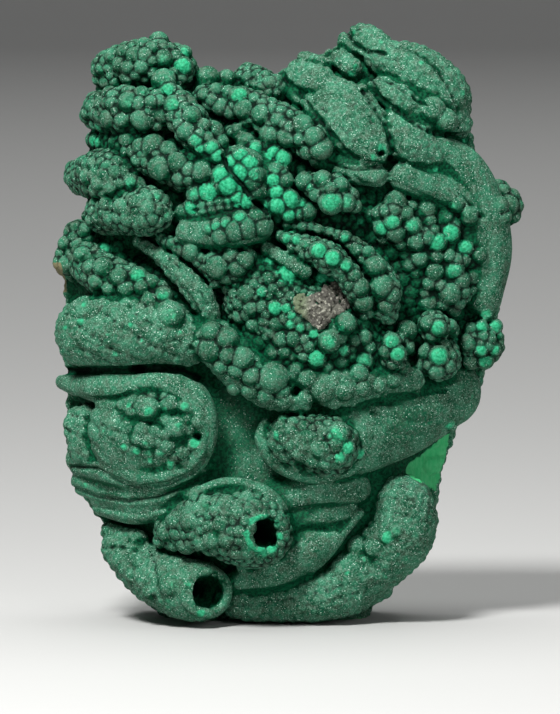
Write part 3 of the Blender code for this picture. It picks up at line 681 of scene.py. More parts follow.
def broken_colour(tree, place):
    """Concentric bands, and fibres drawn out along Z."""
    centres = cells(tree, place, CENTRES).outputs["Distance"]
    wavy = plus(tree, centres, times(tree, noise(tree, place, WOBBLE, 3), 0.25))
    band = node(tree, "ShaderNodeTexNoise",
                {"W": wavy, "Scale": BANDING, "Detail": 3.0, "Roughness": 0.6},
                noise_dimensions="1D").outputs["Fac"]
    fibre = noise(tree, vector(tree, "MULTIPLY", place, {1: ALONG_FIBRE}), FIBRES, 3, 0.6)
    layered = blend(tree, ramp(tree, band, 0.32, 0.66), *BANDS)
    layered = blend(tree, reading(tree, "panel"), layered, FRESH)
    return blend(tree, times(tree, ramp(tree, fibre, 0.35, 0.7), 0.4), layered, FIBRE)


print("band centres lie about", round(1000 / CENTRES), "mm apart")

# %% [markdown]
# ## The whole stone
#
# The layers of colour go on in the order in which the stone got them, with painted light and shade
# among them: the grown skin with its painted light and shade, the worn emerald tops, the painted
# shade in the cracks, the broken faces and the strip of matrix. A worn place is also smoother, so it
# shines. Relief finer than the mesh can hold is bump, in four sizes.

# %% Stone material
EMERALD = srgb(14, 124, 82), srgb(56, 172, 126)   # worn tops
CREVICE_SHADE = srgb(0, 11, 6)                            # painted shade at the bottom of a crack
DULL, POLISHED = 0.62, 0.34                       # roughness of the velvet and of a worn top
SHEEN_OF_NAP = 0.06                               # a nap of crystals has hardly any common shine


def stone_relief(tree, place, fleck, grain):
    """Cracks, pebbles, crystals and flecks as fine relief."""
    seams = bump(tree, reading(tree, "crack"), 0.6, -0.0004)
    pebbles = bump(tree, cells(tree, place, PEBBLES).outputs["Distance"], 0.5, -0.00022, seams)
    crystals = bump(tree, grain.outputs["Distance"], 0.5, 0.00010, pebbles)
    return bump(tree, fleck, 0.25, 0.0003, crystals)


def stone_surface():
    """Velvety, drusy malachite with worn emerald tops and a broken, banded back."""
    made, tree, surface = new_material("malachite", DULL)
    place = node(tree, "ShaderNodeTexCoord").outputs["Object"]
    patchy = noise(tree, place, PATCHES, 2)
    fleck = noise(tree, place, FLECKS, 2)
    grain = cells(tree, place, CRYSTALS)

    patch = plus(tree, reading(tree, "worn"), times(tree, plus(tree, patchy, -0.5), 1.2))
    worn = ramp(tree, patch, 0.3, 0.95)
    emerald = blend(tree, ramp(tree, fleck, 0.25, 0.75), *EMERALD)
    colour = blend(tree, times(tree, worn, 0.85), grown_colour(tree, place, fleck, patchy, grain), emerald)
    # painted shade: cracks, seams and hollows darkened towards near black
    crack = ramp(tree, reading(tree, "crack"), 0.12, 0.85)
    colour = blend(tree, times(tree, crack, 0.93), colour, CREVICE_SHADE)
    colour = blend(tree, ramp(tree, reading(tree, "broken"), 0.35, 0.65), colour, broken_colour(tree, place))
    colour = blend(tree, ramp(tree, reading(tree, "rim"), 0.35, 0.65), colour, blend(tree, fleck, *SHARD))
    tree.links.new(colour, surface.inputs["Base Color"])

    rough = node(tree, "ShaderNodeMapRange", {"Value": worn, "To Min": DULL, "To Max": POLISHED})
    tree.links.new(rough.outputs["Result"], surface.inputs["Roughness"])
    surface.inputs["Specular IOR Level"].default_value = SHEEN_OF_NAP
    tree.links.new(stone_relief(tree, place, fleck, grain), surface.inputs["Normal"])
    return made


STONE = stone_surface()
print("stone material:", len(STONE.node_tree.nodes), "nodes")

# %% [markdown]
# ## Breaking the back, sawing the foot and melting
#
# The specimen was broken off the rock, so its back is a few rough fracture planes, and it was sawn
# flat to stand. Pressing everything beyond a plane back onto that plane gives both, before the
# pieces are melted into one skin.

# %% Back, foot and melt
BACK_PLANES = [  # slope across, slope down, depth at the block's middle
    (0.04, 0.03, 108), (-0.22, 0.05, 128), (0.24, -0.06, 130), (0.03, -0.18, 130),
    (-0.05, 0.20, 132), (0.40, 0.25, 165), (-0.38, -0.20, 160), (-0.30, 0.30, 160),
]


def read_vertices(mesh):
    """Vertex places as an array."""
    places = np.empty(len(mesh.vertices) * 3, np.float32)
    mesh.vertices.foreach_get("co", places)
    return places.reshape(-1, 3).astype(float)


def read_faces(mesh):
    """Corners of all faces in one array, and how many each face has."""
    corners = np.empty(len(mesh.loops), np.int32)
    mesh.loops.foreach_get("vertex_index", corners)
    counts = np.empty(len(mesh.polygons), np.int32)
    mesh.polygons.foreach_get("loop_total", counts)
    return corners, counts


def read_edges(mesh):
    """Both ends of every edge."""
    edges = np.empty(len(mesh.edges) * 2, np.int32)
    mesh.edges.foreach_get("vertices", edges)
    return edges.reshape(-1, 2)


def face_starts(counts):
    """Where the corners of each face begin."""
    return np.concatenate([[0], np.cumsum(counts)[:-1]])


def plain_mesh(name, vertices, corners, counts):
    """A mesh from arrays."""
    mesh = bpy.data.meshes.new(name)
    mesh.vertices.add(len(vertices))
    mesh.vertices.foreach_set("co", np.ascontiguousarray(vertices, np.float32).ravel())
    mesh.loops.add(len(corners))
    mesh.loops.foreach_set("vertex_index", np.ascontiguousarray(corners, np.int32))
    mesh.polygons.add(len(counts))
    mesh.polygons.foreach_set("loop_start", face_starts(counts).astype(np.int32))
    mesh.update(calc_edges=True)
    return mesh


def joined(name, meshes):
    """One mesh that holds several."""
    vertices, corners, counts = [], [], []
    start = 0
    for mesh in meshes:
        places = read_vertices(mesh)
        loop, sides = read_faces(mesh)
        vertices.append(places)
        corners.append(loop + start)
        counts.append(sides)
        start += len(places)
    return plain_mesh(name, np.vstack(vertices), np.concatenate(corners), np.concatenate(counts))


def broken_back(places):
    """How far back the nearest fracture plane lies behind each place."""
    across = places[:, 0] - (CENTRE[0] - MIDDLE_X) * GRID
    down = (FLOOR_Y - CENTRE[1]) * GRID - places[:, 2]
    return np.min([middle * GRID + slope_x * across + slope_y * down
                   for slope_x, slope_y, middle in BACK_PLANES], axis=0)


def trim(mesh):
    """Press whatever lies behind the back or below the foot flat onto it."""
    places = read_vertices(mesh)
    places[:, 1] = np.minimum(places[:, 1], broken_back(places))
    places[:, 2] = np.maximum(places[:, 2], 0)
    mesh.vertices.foreach_set("co", places.astype(np.float32).ravel())


def modified(mesh, kind, **settings):
    """A copy of a mesh with one modifier applied."""
    carrier = placed("carrier", mesh)
    modifier = carrier.modifiers.new("step", kind)
    for label, value in settings.items():
        setattr(modifier, label, value)
    graph = bpy.context.evaluated_depsgraph_get()
    made = bpy.data.meshes.new_from_object(carrier.evaluated_get(graph))
    bpy.data.objects.remove(carrier)
    return made


def melt(mesh, cell):
    """Join overlapping pieces into one skin."""
    return modified(mesh, "REMESH", mode="VOXEL", voxel_size=cell)


strand_object = strand_lines("strands", strands)
strand_object.data = run_tree(strand_object, sweep_tree(), {"Sides": STRAND_SIDES, "Material": STONE})
body = joined("body", [block.data, strand_object.data])
trim(body)
skin = melt(body, SKIN_CELL)
print("skin:", len(skin.polygons), "faces")

# %% [markdown]
# ## Tube mouths and small holes
#
# Two of the fingers are tubes: malachite that grew round a thin stalk, which later dissolved and
# left the bore open. The bores are cut from the front. A few knobs have a pinhole of the same kind.

# %% Boring
MOUTHS = [  # x, y, radius at the lip, radius inside, lean to the left, depth
    (264, 531, 15, 12, 0.30, 62), (206, 590, 17, 11, 0.35, 55),
]
PINHOLES = [  # x, y, radius, depth
    (379, 155, 4, 14), (297, 391, 5, 22), (355, 444, 4, 14), (496, 339, 4, 16), (198, 436, 4, 12),
]


def bore_lines():
    """The bores as strands that start in front of the skin."""
    rows = []
    for x, y, lip, inside, lean, depth in MOUTHS:
        points = []
        for share, radius in ((-0.9, lip * 1.5), (0.1, lip), (0.35, inside), (1.0, inside * 0.8)):
            step = share * depth
            points.append((*spot(x - lean * step, y, front_skin(x, y) + 22 - step), radius * GRID))
        rows.append((SMOOTH, 1, smooth_curve(points, 4)))
    for x, y, radius, depth in PINHOLES:
        top = surface_height(x, y)
        ends = [(*spot(x, y, top + 8), radius * 1.5 * GRID), (*spot(x, y, top - depth), radius * 0.8 * GRID)]
        rows.append((SMOOTH, 1, smooth_curve(ends, 4)))
    return rows


def tree_of(mesh):
    """Something to shoot rays at."""
    corners, counts = read_faces(mesh)
    ends = np.cumsum(counts)
    faces = [corners[end - count:end].tolist() for end, count in zip(ends, counts)]
    return BVHTree.FromPolygons(read_vertices(mesh).tolist(), faces)


skin_rays = tree_of(skin)
SIGHT = Vector((0, math.cos(LOOK_DOWN), -math.sin(LOOK_DOWN)))


def look_at(rays, x, y):
    """First place that the sight line through a grid point meets."""
    start = Vector(spot(float(x), float(y), 0.0)) - SIGHT * 0.2
    return rays.ray_cast(start, SIGHT)


def surface_height(x, y):
    """Height of the skin in front of a grid point, in grid steps."""
    place = look_at(skin_rays, x, y)[0]
    return 0.0 if place is None else -place.y / GRID


bores = strand_lines("bores", bore_lines())
bores.data = run_tree(bores, sweep_tree(), {"Sides": BORE_SIDES, "Material": STONE})
skin = modified(skin, "BOOLEAN", operation="DIFFERENCE", object=bores, solver="EXACT")
skin_rays = tree_of(skin)
print("bored skin:", len(skin.polygons), "faces")

# %% [markdown]
# ## Knobs picked one by one
#
# The knobs that catch the eye are written down: column, row, radius, and how far the velvet is worn
# off their tops. Each is a ball that is set on the skin where the sight line meets it. Four tables
# keep apart the knobs that stand free, those crowded along the crack, those grown tightly together
# and the low pebbles, because each kind sinks into the skin by its own share.

# %% The table of single knobs
KNOBS = [
    # crown and second row, upper left
    (159, 41, 10, 0), (144, 46, 7, 0), (135, 57, 8, 0), (124, 53, 7, 0), (113, 57, 8, 0),
    (121, 66, 8, 0.3), (130, 69, 8, 0), (130, 79, 9, 0.1), (102, 69, 6, 0.5), (98, 80, 6, 0),
    (107, 84, 7, 0), (117, 83, 7, 0), (143, 69, 8, 0), (153, 50, 7, 0), (165, 61, 9, 0.5), (164, 51, 6, 0),
    (176, 48, 8, 0.2), (185, 54, 8, 0.7), (192, 65, 6, 0), (184, 68, 10, 0.9), (154, 75, 7, 0),
    (165, 83, 12, 0.5), (153, 63, 6, 0), (96, 93, 7, 0), (111, 95, 8, 0), (125, 92, 6, 0), (93, 107, 7, 0),
    (102, 105, 7, 0), (114, 106, 7, 0), (130, 104, 10, 0.5), (143, 96, 8, 0.5), (88, 114, 6, 0),
    (97, 116, 6, 0), (110, 121, 9, 0), (124, 122, 8, 0), (144, 122, 11, 0), (153, 105, 7, 0),
    (161, 104, 7, 0), (169, 93, 9, 0.8), (174, 108, 10, 0.7), (186, 110, 6, 0.4), (188, 98, 7, 0),
    (165, 118, 7, 0), (158, 128, 6, 0), (168, 131, 7, 0),
    # ledge and diagonal finger
    (128, 141, 8, 0), (142, 148, 8, 0), (155, 148, 12, 0), (169, 153, 10, 0), (162, 170, 12, 0),
    (178, 165, 10, 0), (190, 172, 8, 0), (203, 174, 11, 0), (181, 127, 7, 0), (187, 134, 9, 0.2),
    (184, 145, 6, 0), (193, 118, 9, 0.5), (197, 143, 8, 0.8), (202, 151, 6, 0.9), (213, 150, 8, 0.8),
    (218, 158, 8, 0.8), (215, 133, 10, 0.1), (222, 144, 8, 0.1), (205, 128, 7, 0), (201, 137, 6, 0.2),
    # long cluster finger, upper middle
    (208, 79, 12, 0), (227, 79, 9, 0), (217, 92, 8, 0), (240, 98, 10, 0.8), (196, 94, 6, 0),
    (205, 97, 7, 0), (209, 107, 7, 0), (221, 109, 9, 0.2), (231, 114, 8, 0), (244, 112, 10, 0),
    (262, 117, 10, 0), (273, 113, 7, 0), (263, 107, 6, 0), (248, 131, 9, 0), (234, 122, 7, 0),
    (272, 137, 13, 0), (287, 140, 10, 0), (284, 127, 6, 0), (285, 105, 9, 0), (296, 114, 9, 0.6),
    (302, 128, 11, 0), (314, 140, 10, 0.2), (321, 152, 11, 0.2), (246, 144, 9, 0), (255, 150, 8, 0.8),
    (300, 142, 7, 0), (354, 32, 6, 0.5), (361, 92, 6, 0), (258, 215, 7, 0.7),
    # rosette
    (304, 184, 9, 0.3), (309, 189, 6, 0.7), (322, 181, 9, 0.5), (340, 187, 8, 0), (330, 205, 12, 0.8),
    (346, 205, 9, 0.6), (355, 191, 8, 0), (354, 208, 7, 0), (315, 197, 7, 0), (338, 175, 7, 0),
    # loose knobs inside the drapes
    (381, 200, 8, 0.3), (394, 203, 11, 0.3), (384, 213, 7, 0.1), (369, 216, 8, 0.4), (359, 222, 6, 0.6),
    (404, 215, 8, 0.4), (391, 224, 9, 0.8), (380, 230, 8, 0.9), (370, 239, 7, 0.3), (411, 227, 9, 0.7),
    (424, 211, 11, 0), (428, 222, 7, 0), (423, 232, 5, 0), (444, 219, 9, 0), (431, 232, 7, 0),
    (435, 243, 10, 0.9), (449, 234, 10, 0.9), (467, 217, 10, 0.4), (454, 207, 7, 0.6),
    (463, 249, 10, 0.85), (468, 262, 7, 0.3), (477, 256, 8, 0.2), (415, 243, 9, 0.1), (399, 245, 6, 0),
    (390, 253, 8, 0), (418, 260, 9, 0.1), (403, 257, 5, 0), (435, 257, 7, 0), (447, 257, 7, 0),
    (398, 268, 7, 0), (402, 280, 8, 0), (414, 273, 8, 0.3), (433, 273, 9, 0.2), (428, 284, 8, 0.1),
    (439, 286, 7, 0), (453, 271, 10, 0.7), (468, 277, 9, 0.1), (448, 294, 11, 0.2), (411, 292, 9, 0),
    (424, 294, 7, 0), (427, 304, 11, 0), (408, 303, 7, 0), (462, 292, 7, 0), (452, 310, 8, 0),
    (381, 240, 6, 0), (410, 312, 6, 0), (440, 305, 7, 0), (382, 262, 6, 0),
    # ridges that fan out from the middle
    (277, 239, 5, 0.8), (286, 240, 6, 0.8), (296, 241, 6, 0.8), (306, 246, 6, 0.5), (318, 252, 9, 0.9),
    (332, 260, 9, 0.9), (345, 267, 7, 0.8), (353, 277, 7, 0.2), (359, 288, 9, 0.2), (363, 304, 9, 0.2),
    (344, 239, 7, 0.7), (355, 252, 7, 0.2), (367, 254, 7, 0), (374, 268, 11, 0.2), (380, 288, 12, 0),
    (389, 295, 9, 0.4), (384, 306, 8, 0), (330, 234, 5, 0.2), (318, 231, 5, 0.2),
    # dome
    (218, 269, 11, 0), (232, 258, 9, 0), (245, 262, 9, 0), (256, 264, 11, 0.1), (270, 264, 8, 0.9),
    (286, 276, 12, 0.9), (269, 280, 7, 0.2), (273, 290, 6, 0.2), (262, 293, 6, 0.8), (247, 295, 9, 0.3),
    (229, 289, 7, 0.1), (237, 284, 6, 0.1), (275, 309, 8, 0.9), (286, 309, 6, 0.9), (292, 317, 6, 0.8),
    (290, 297, 6, 0.3), (321, 278, 8, 0.8), (331, 281, 6, 0.8), (253, 326, 7, 0), (265, 322, 6, 0),
    (277, 325, 7, 0.2), (240, 317, 7, 0), (260, 343, 7, 0), (273, 353, 8, 0), (290, 325, 6, 0.7),
    (300, 328, 6, 0.7), (293, 339, 8, 0.4), (313, 334, 6, 0.9), (308, 346, 7, 0.4), (303, 356, 6, 0.2),
    (316, 358, 10, 0.9), (339, 362, 9, 0.2), (342, 350, 8, 0.7), (353, 341, 7, 0.3), (363, 338, 8, 0.4),
    (368, 348, 7, 0), (363, 361, 10, 0.7), (358, 373, 10, 0.1), (350, 356, 6, 0.4), (345, 324, 10, 0.2),
    (328, 342, 11, 0.6), (252, 309, 8, 0), (262, 308, 7, 0.2), (240, 304, 7, 0), (281, 340, 8, 0),
    (250, 337, 7, 0), (284, 352, 7, 0), (295, 368, 8, 0), (281, 365, 7, 0), (327, 366, 8, 0),
    # round clusters, right middle
    (390, 342, 9, 0.8), (396, 354, 9, 0.8), (384, 352, 7, 0.1), (388, 330, 7, 0), (405, 331, 10, 0),
    (405, 347, 8, 0), (400, 367, 9, 0), (391, 364, 6, 0), (436, 328, 9, 0.8), (426, 324, 8, 0.2),
    (449, 326, 7, 0), (453, 341, 8, 0.8), (437, 356, 10, 0.9), (424, 352, 8, 0.2), (421, 365, 7, 0),
    (447, 366, 7, 0.2), (435, 370, 9, 0), (428, 341, 6, 0), (443, 345, 6, 0.1), (471, 316, 8, 0),
    (485, 315, 7, 0.7), (480, 327, 7, 0.9), (467, 343, 9, 0.1), (480, 350, 7, 0.9), (484, 361, 9, 0.8),
    (470, 361, 9, 0), (494, 326, 8, 0.8), (493, 350, 7, 0.8), (470, 329, 7, 0), (489, 339, 6, 0),
    (460, 326, 6, 0), (495, 362, 6, 0.2),
    # left cap and fan
    (92, 221, 6, 0), (85, 231, 8, 0), (66, 244, 8, 0), (79, 246, 8, 0), (68, 265, 9, 0.1), (84, 256, 9, 0),
    (106, 250, 9, 0.8), (105, 268, 10, 0.4), (121, 261, 8, 0.2), (121, 278, 9, 0), (128, 290, 9, 0),
    (140, 276, 9, 0.8), (144, 288, 8, 0), (153, 283, 8, 0.1), (165, 297, 9, 0.6), (151, 301, 8, 0),
    (176, 295, 6, 0.6), (92, 268, 8, 0), (98, 282, 8, 0), (112, 290, 8, 0), (74, 276, 7, 0),
    (94, 243, 7, 0), (192, 253, 9, 0.3), (163, 240, 6, 0),
]
LOW_KNOBS = [  # pebbles that hardly stand out of smooth lobes
    # left bulb pointing right, and the one below it
    (132, 184, 8, 0.6), (118, 174, 7, 0.4), (108, 168, 6, 0), (95, 164, 7, 0), (88, 178, 8, 0),
    (100, 185, 8, 0), (113, 190, 7, 0), (125, 173, 6, 0), (105, 176, 6, 0), (158, 198, 7, 0.6),
    (169, 217, 7, 0.5), (108, 205, 8, 0), (122, 208, 8, 0), (138, 204, 8, 0), (150, 210, 8, 0.2),
    (112, 220, 8, 0), (130, 221, 8, 0), (146, 223, 7, 0), (160, 224, 6, 0),
    # eye
    (338, 432, 12, 0.7), (347, 446, 8, 0.9), (339, 457, 7, 0.8), (320, 448, 10, 0.1), (308, 436, 8, 0.1),
    (358, 453, 7, 0.8), (290, 430, 7, 0), (290, 445, 7, 0), (298, 454, 8, 0), (311, 462, 7, 0),
    (276, 434, 7, 0.7), (323, 431, 7, 0), (325, 462, 7, 0), (303, 446, 6, 0), (352, 434, 6, 0.2),
    (283, 419, 6, 0.7),
    # shelf and band below the dome
    (323, 390, 12, 0.1), (343, 391, 10, 0.2), (290, 372, 10, 0), (307, 379, 9, 0), (362, 388, 9, 0),
    (284, 400, 9, 0), (306, 397, 8, 0), (315, 405, 7, 0), (333, 403, 7, 0), (378, 386, 8, 0),
    (392, 380, 8, 0), (410, 375, 8, 0), (431, 112, 13, 0.2), (444, 123, 12, 0.3), (172, 316, 15, 0.5),
    (450, 425, 7, 0.6), (458, 414, 6, 0.3),
    # inside the lower left bulb
    (126, 405, 8, 0.1), (134, 411, 7, 0), (134, 401, 7, 0), (150, 409, 12, 0.3), (144, 400, 6, 0),
    (157, 417, 6, 0), (171, 404, 9, 0.1), (186, 406, 9, 0.2), (178, 427, 11, 0.3), (168, 420, 7, 0.1),
    (188, 416, 7, 0), (168, 433, 7, 0), (198, 422, 7, 0.1), (189, 430, 6, 0), (145, 429, 8, 0),
    (156, 431, 8, 0.1), (150, 441, 8, 0.2), (140, 439, 7, 0), (160, 441, 6, 0), (117, 424, 8, 0),
    (127, 427, 7, 0), (126, 438, 7, 0.2), (116, 434, 6, 0), (168, 445, 8, 0), (162, 452, 6, 0.6),
    (138, 450, 6, 0.7), (126, 446, 5, 0.8), (150, 452, 6, 0.6), (108, 420, 6, 0.2), (105, 431, 5, 0.5),
    (152, 460, 5, 0.6), (172, 463, 5, 0.7), (184, 452, 7, 0), (193, 444, 7, 0.2),
    # upper tube
    (191, 519, 10, 0), (199, 508, 8, 0), (207, 500, 8, 0.5), (176, 519, 9, 0), (167, 530, 10, 0),
    (187, 544, 10, 0), (227, 502, 10, 0.2), (247, 496, 8, 0), (223, 522, 9, 0.4), (213, 538, 9, 0.1),
    (203, 541, 8, 0), (228, 537, 9, 0), (238, 511, 8, 0.3), (210, 524, 7, 0), (217, 510, 7, 0),
    (240, 528, 7, 0.4), (236, 550, 7, 0.2), (213, 553, 7, 0), (175, 544, 7, 0), (160, 541, 7, 0),
    # lower tube and foot
    (172, 583, 13, 0.4), (120, 560, 9, 0), (133, 575, 8, 0), (140, 562, 8, 0), (150, 590, 8, 0),
    (357, 545, 11, 0.1), (373, 548, 10, 0), (386, 536, 8, 0.8), (395, 530, 8, 0.5),
]
CRACK_KNOBS = [  # fat knobs pressed against each other along the crack
    # emerald knobs along the crack
    (233, 165, 9, 0.95), (241, 158, 9, 0.95), (251, 167, 10, 0.95), (243, 176, 9, 0.95),
    (255, 177, 8, 0.6), (252, 186, 8, 0.3), (256, 194, 7, 0.1), (223, 177, 9, 0.95), (233, 180, 9, 0.9),
    (229, 188, 9, 0.95), (239, 190, 6, 0.8), (209, 194, 9, 0.9), (197, 197, 8, 0.7), (202, 202, 7, 0.6),
    (192, 208, 7, 0.9), (184, 213, 6, 0.1), (237, 201, 8, 0.9), (247, 203, 7, 0.9), (229, 205, 6, 0.5),
    (221, 207, 6, 0.3), (213, 209, 6, 0.2), (205, 211, 6, 0.2), (210, 230, 6, 0.6), (218, 228, 6, 0.7),
    (227, 226, 6, 0.7), (241, 221, 7, 0.9), (258, 218, 8, 0.4), (262, 229, 8, 0), (248, 230, 9, 0),
    (235, 233, 9, 0), (222, 238, 8, 0),
    # column of knobs right of the crack and the bright cluster below it
    (274, 156, 8, 0.95), (283, 160, 8, 0.95), (276, 172, 7, 0.5), (291, 169, 8, 0), (274, 183, 7, 0.9),
    (284, 183, 8, 0.1), (281, 177, 6, 0), (277, 195, 7, 0.95), (277, 208, 8, 0.9), (290, 201, 9, 0.95),
    (300, 206, 7, 0.9), (307, 213, 8, 0.2), (289, 217, 7, 0.9), (267, 207, 6, 0.7), (279, 219, 6, 0.8),
    (298, 216, 6, 0.5), (269, 214, 5, 0.6), (284, 194, 6, 0.6),
]
PACKED_KNOBS = [  # knobs grown tightly together, so that only their fronts stand out
    # band below the dome
    (213, 333, 9, 0), (211, 350, 10, 0), (227, 339, 10, 0), (229, 355, 9, 0), (243, 359, 11, 0),
    (273, 377, 16, 0.3), (252, 376, 9, 0), (237, 371, 8, 0), (222, 367, 8, 0), (250, 391, 8, 0),
    (265, 396, 8, 0), (282, 391, 8, 0.3), (206, 365, 8, 0), (220, 382, 7, 0), (235, 388, 8, 0),
    (201, 347, 8, 0),
]
RIGHT_KNOB = [  # the oval raspberry on the right edge
    (502, 192, 8, 0), (512, 196, 8, 0), (517, 206, 7, 0), (513, 216, 8, 0.1), (503, 217, 8, 0),
    (499, 206, 9, 0), (508, 205, 10, 0), (508, 221, 6, 0.8),
]
MOUTH_RIMS = [(2.0, 3.4, 0.95), (4.0, 5.5, 0.0)]  # for each tube mouth: width beyond the lip, radius, worn
BEADS = 36      # beads round each mouth
GROWN = 1.08    # all knobs grow a little past the drawn radius, so that neighbours touch
CROWDED = 1.2   # and those along the crack grow on into each other


def set_balls(table, out):
    """Centres and radii of balls set on the skin, each sunk until `out` of its radius is lost."""
    rows = []
    for x, y, radius, worn in table:
        place, normal, _, _ = look_at(skin_rays, x, y)
        if place is not None:
            lean = (normal * 0.5 - SIGHT).normalized()
            rows.append((*(place - lean * out * radius * GRID), radius * GRID, worn))
    return np.array(rows)


single = np.vstack([set_balls(KNOBS, 0.28), set_balls(CRACK_KNOBS, 0.6),
                    set_balls(PACKED_KNOBS + RIGHT_KNOB, 0.42), set_balls(LOW_KNOBS, 0.5)])
single[:, 3] *= GROWN
single[len(KNOBS):len(KNOBS) + len(CRACK_KNOBS), 3] *= CROWDED
rim_beads = []
for (x, y, lip, _, _, _), (wider, radius, worn) in zip(MOUTHS, MOUTH_RIMS):
    for turn in np.linspace(0, 2 * math.pi, BEADS, endpoint=False):
        across, down = (lip + wider) * math.cos(turn), (lip + wider) * math.sin(turn)
        rim_beads.append((x + across, y + down, radius, worn))
rim_beads = set_balls(rim_beads, 0.4)
print(len(single), "single knobs and", len(rim_beads), "beads in the rims of the tubes")

# %% [markdown]
# ## Botryoids by rule
#
# Between the single knobs the fingers are covered with small ones. Geometry Nodes scatter points
# evenly over the skin wherever its nearest finger has the wanted finish, keep clear of the single
# knobs and the tube mouths, and set a slightly squashed ball on each point. Dimpled and scaly lobes
# get the same balls, sunk so deep that only low bumps show.


# %% Tree that grows botryoids
BALL_DETAIL = 3
BALL_POINTS = 162  # vertices of one ball of that detail
SQUASH = 0.92      # a ball's height over its width
DENSEST = 3.0e6    # points on a square metre before the spacing thins them out


def knob_tree():
    """Balls on the skin where the nearest strand has a given finish."""
    tree, given, result = new_tree("grow botryoids", {
        "Strands": ("NodeSocketObject", None),
        "Kept clear": ("NodeSocketObject", None),
        "Finish": ("NodeSocketFloat", 0.0),
        "Radius": ("NodeSocketFloat", 0.0015),
        "Spacing": ("NodeSocketFloat", 1.3),
        "Sink": ("NodeSocketFloat", 0.4),
        "Variation": ("NodeSocketFloat", 0.25),
        "Clearance": ("NodeSocketFloat", 0.6),
        "Seed": ("NodeSocketInt", 1),
        "Material": ("NodeSocketMaterial", None),
    })
    asked = given.outputs

    # points on the skin, only where the nearest strand has the chosen finish
    strands_given = node(tree, "GeometryNodeObjectInfo", {"Object": asked["Strands"]}).outputs["Geometry"]
    nearest = node(tree, "GeometryNodeSampleNearestSurface",
                   {"Mesh": strands_given, "Value": attribute(tree, "finish")}, data_type="FLOAT")
    apart = figure(tree, "ABSOLUTE", figure(tree, "SUBTRACT", nearest.outputs[0], asked["Finish"]))
    points = node(tree, "GeometryNodeDistributePointsOnFaces", {
        "Mesh": asked["Geometry"], "Selection": figure(tree, "LESS_THAN", apart, 0.5),
        "Distance Min": figure(tree, "MULTIPLY", asked["Radius"], asked["Spacing"]),
        "Density Max": DENSEST, "Seed": asked["Seed"]}, distribute_method="POISSON")

    # none where something stands already
    kept_clear = node(tree, "GeometryNodeObjectInfo", {"Object": asked["Kept clear"]}).outputs["Geometry"]
    closest = node(tree, "GeometryNodeSampleNearest", {"Geometry": kept_clear}, domain="POINT")
    taken = node(tree, "GeometryNodeSampleIndex", {
        "Geometry": kept_clear, "Index": closest.outputs[0], "Value": attribute(tree, "size")},
        data_type="FLOAT", domain="POINT")
    distance = node(tree, "GeometryNodeProximity", {0: kept_clear}, target_element="POINTS")
    own = figure(tree, "MULTIPLY", asked["Radius"], asked["Clearance"])
    room = figure(tree, "ADD", own, taken.outputs[0])
    crowded = figure(tree, "LESS_THAN", distance.outputs["Distance"], room)
    free = node(tree, "GeometryNodeDeleteGeometry", {"Geometry": points.outputs[0], "Selection": crowded})

    # a ball of its own size on each point, sunk into the skin by a share of that size
    chance = node(tree, "FunctionNodeRandomValue", {
        2: figure(tree, "SUBTRACT", 1.0, asked["Variation"]), 3: figure(tree, "ADD", 1.0, asked["Variation"]),
        "Seed": asked["Seed"]}, data_type="FLOAT")
    size = figure(tree, "MULTIPLY", chance.outputs[1], asked["Radius"])
    sized = node(tree, "GeometryNodeStoreNamedAttribute",
                 {"Geometry": free.outputs[0], "Name": "size", "Value": size}, data_type="FLOAT")
    down = figure(tree, "MULTIPLY", figure(tree, "MULTIPLY", attribute(tree, "size"), asked["Sink"]), -1.0)
    shift = vector(tree, "SCALE", points.outputs["Normal"], {"Scale": down})
    sunk = node(tree, "GeometryNodeSetPosition", {"Geometry": sized.outputs[0], "Offset": shift})
    ball = node(tree, "GeometryNodeMeshIcoSphere", {"Radius": 1.0, "Subdivisions": BALL_DETAIL})
    flat = node(tree, "ShaderNodeCombineXYZ", {"X": 1.0, "Y": 1.0, "Z": SQUASH})
    scale = vector(tree, "SCALE", flat.outputs[0], {"Scale": attribute(tree, "size")})
    balls = node(tree, "GeometryNodeInstanceOnPoints", {
        "Points": sunk.outputs[0], "Instance": ball.outputs[0], "Rotation": points.outputs["Rotation"],
        "Scale": scale})
    finish_off(tree, given, result, balls.outputs[0])
    return tree


def dots(name, places, sizes):
    """A mesh of loose points, each with the room it takes."""
    mesh = bpy.data.meshes.new(name)
    mesh.from_pydata(places.tolist(), [], [])
    store(mesh, "size", sizes)
    return placed(name, mesh)


GROWTHS = [  # finish, radius, spacing, sink, variation, clearance, seed
    (FINE, 5.4, 1.12, 0.28, 0.3, 0.25, 3),
    (MEDIUM, 6.8, 1.12, 0.26, 0.3, 0.25, 4),
    (COARSE, 8.0, 1.12, 0.2, 0.3, 0.25, 5),
    (DIMPLED, 6.2, 1.35, 0.62, 0.3, 0.4, 6),
    (SCALY, 6.8, 1.15, 0.5, 0.3, 0.2, 7),
]
KEPT_DOWN = range(0, 60, 6)  # steps down a bore where nothing may grow
KEPT_ROUND = np.linspace(0, 2 * math.pi, 20, endpoint=False)
KEPT_ROOM = 3                # grid steps round each of those places
KEPT_KNOB = 0.85             # share of a single knob's radius that is kept clear
BESIDE = 1.2                 # how far out the height beside a mouth is read, in radii of its lip


def mouth_rim():
    """Points round the tube mouths and down their bores, where nothing may grow."""
    places = []
    for x, y, lip, _, lean, _ in MOUTHS:
        for step in KEPT_DOWN:
            for turn in KEPT_ROUND:
                across, down = lip * math.cos(turn), lip * math.sin(turn)
                top = surface_height(x + BESIDE * across, y + BESIDE * down)
                places.append(spot(x + across - lean * step, y + down, top - step))
    return np.array(places)


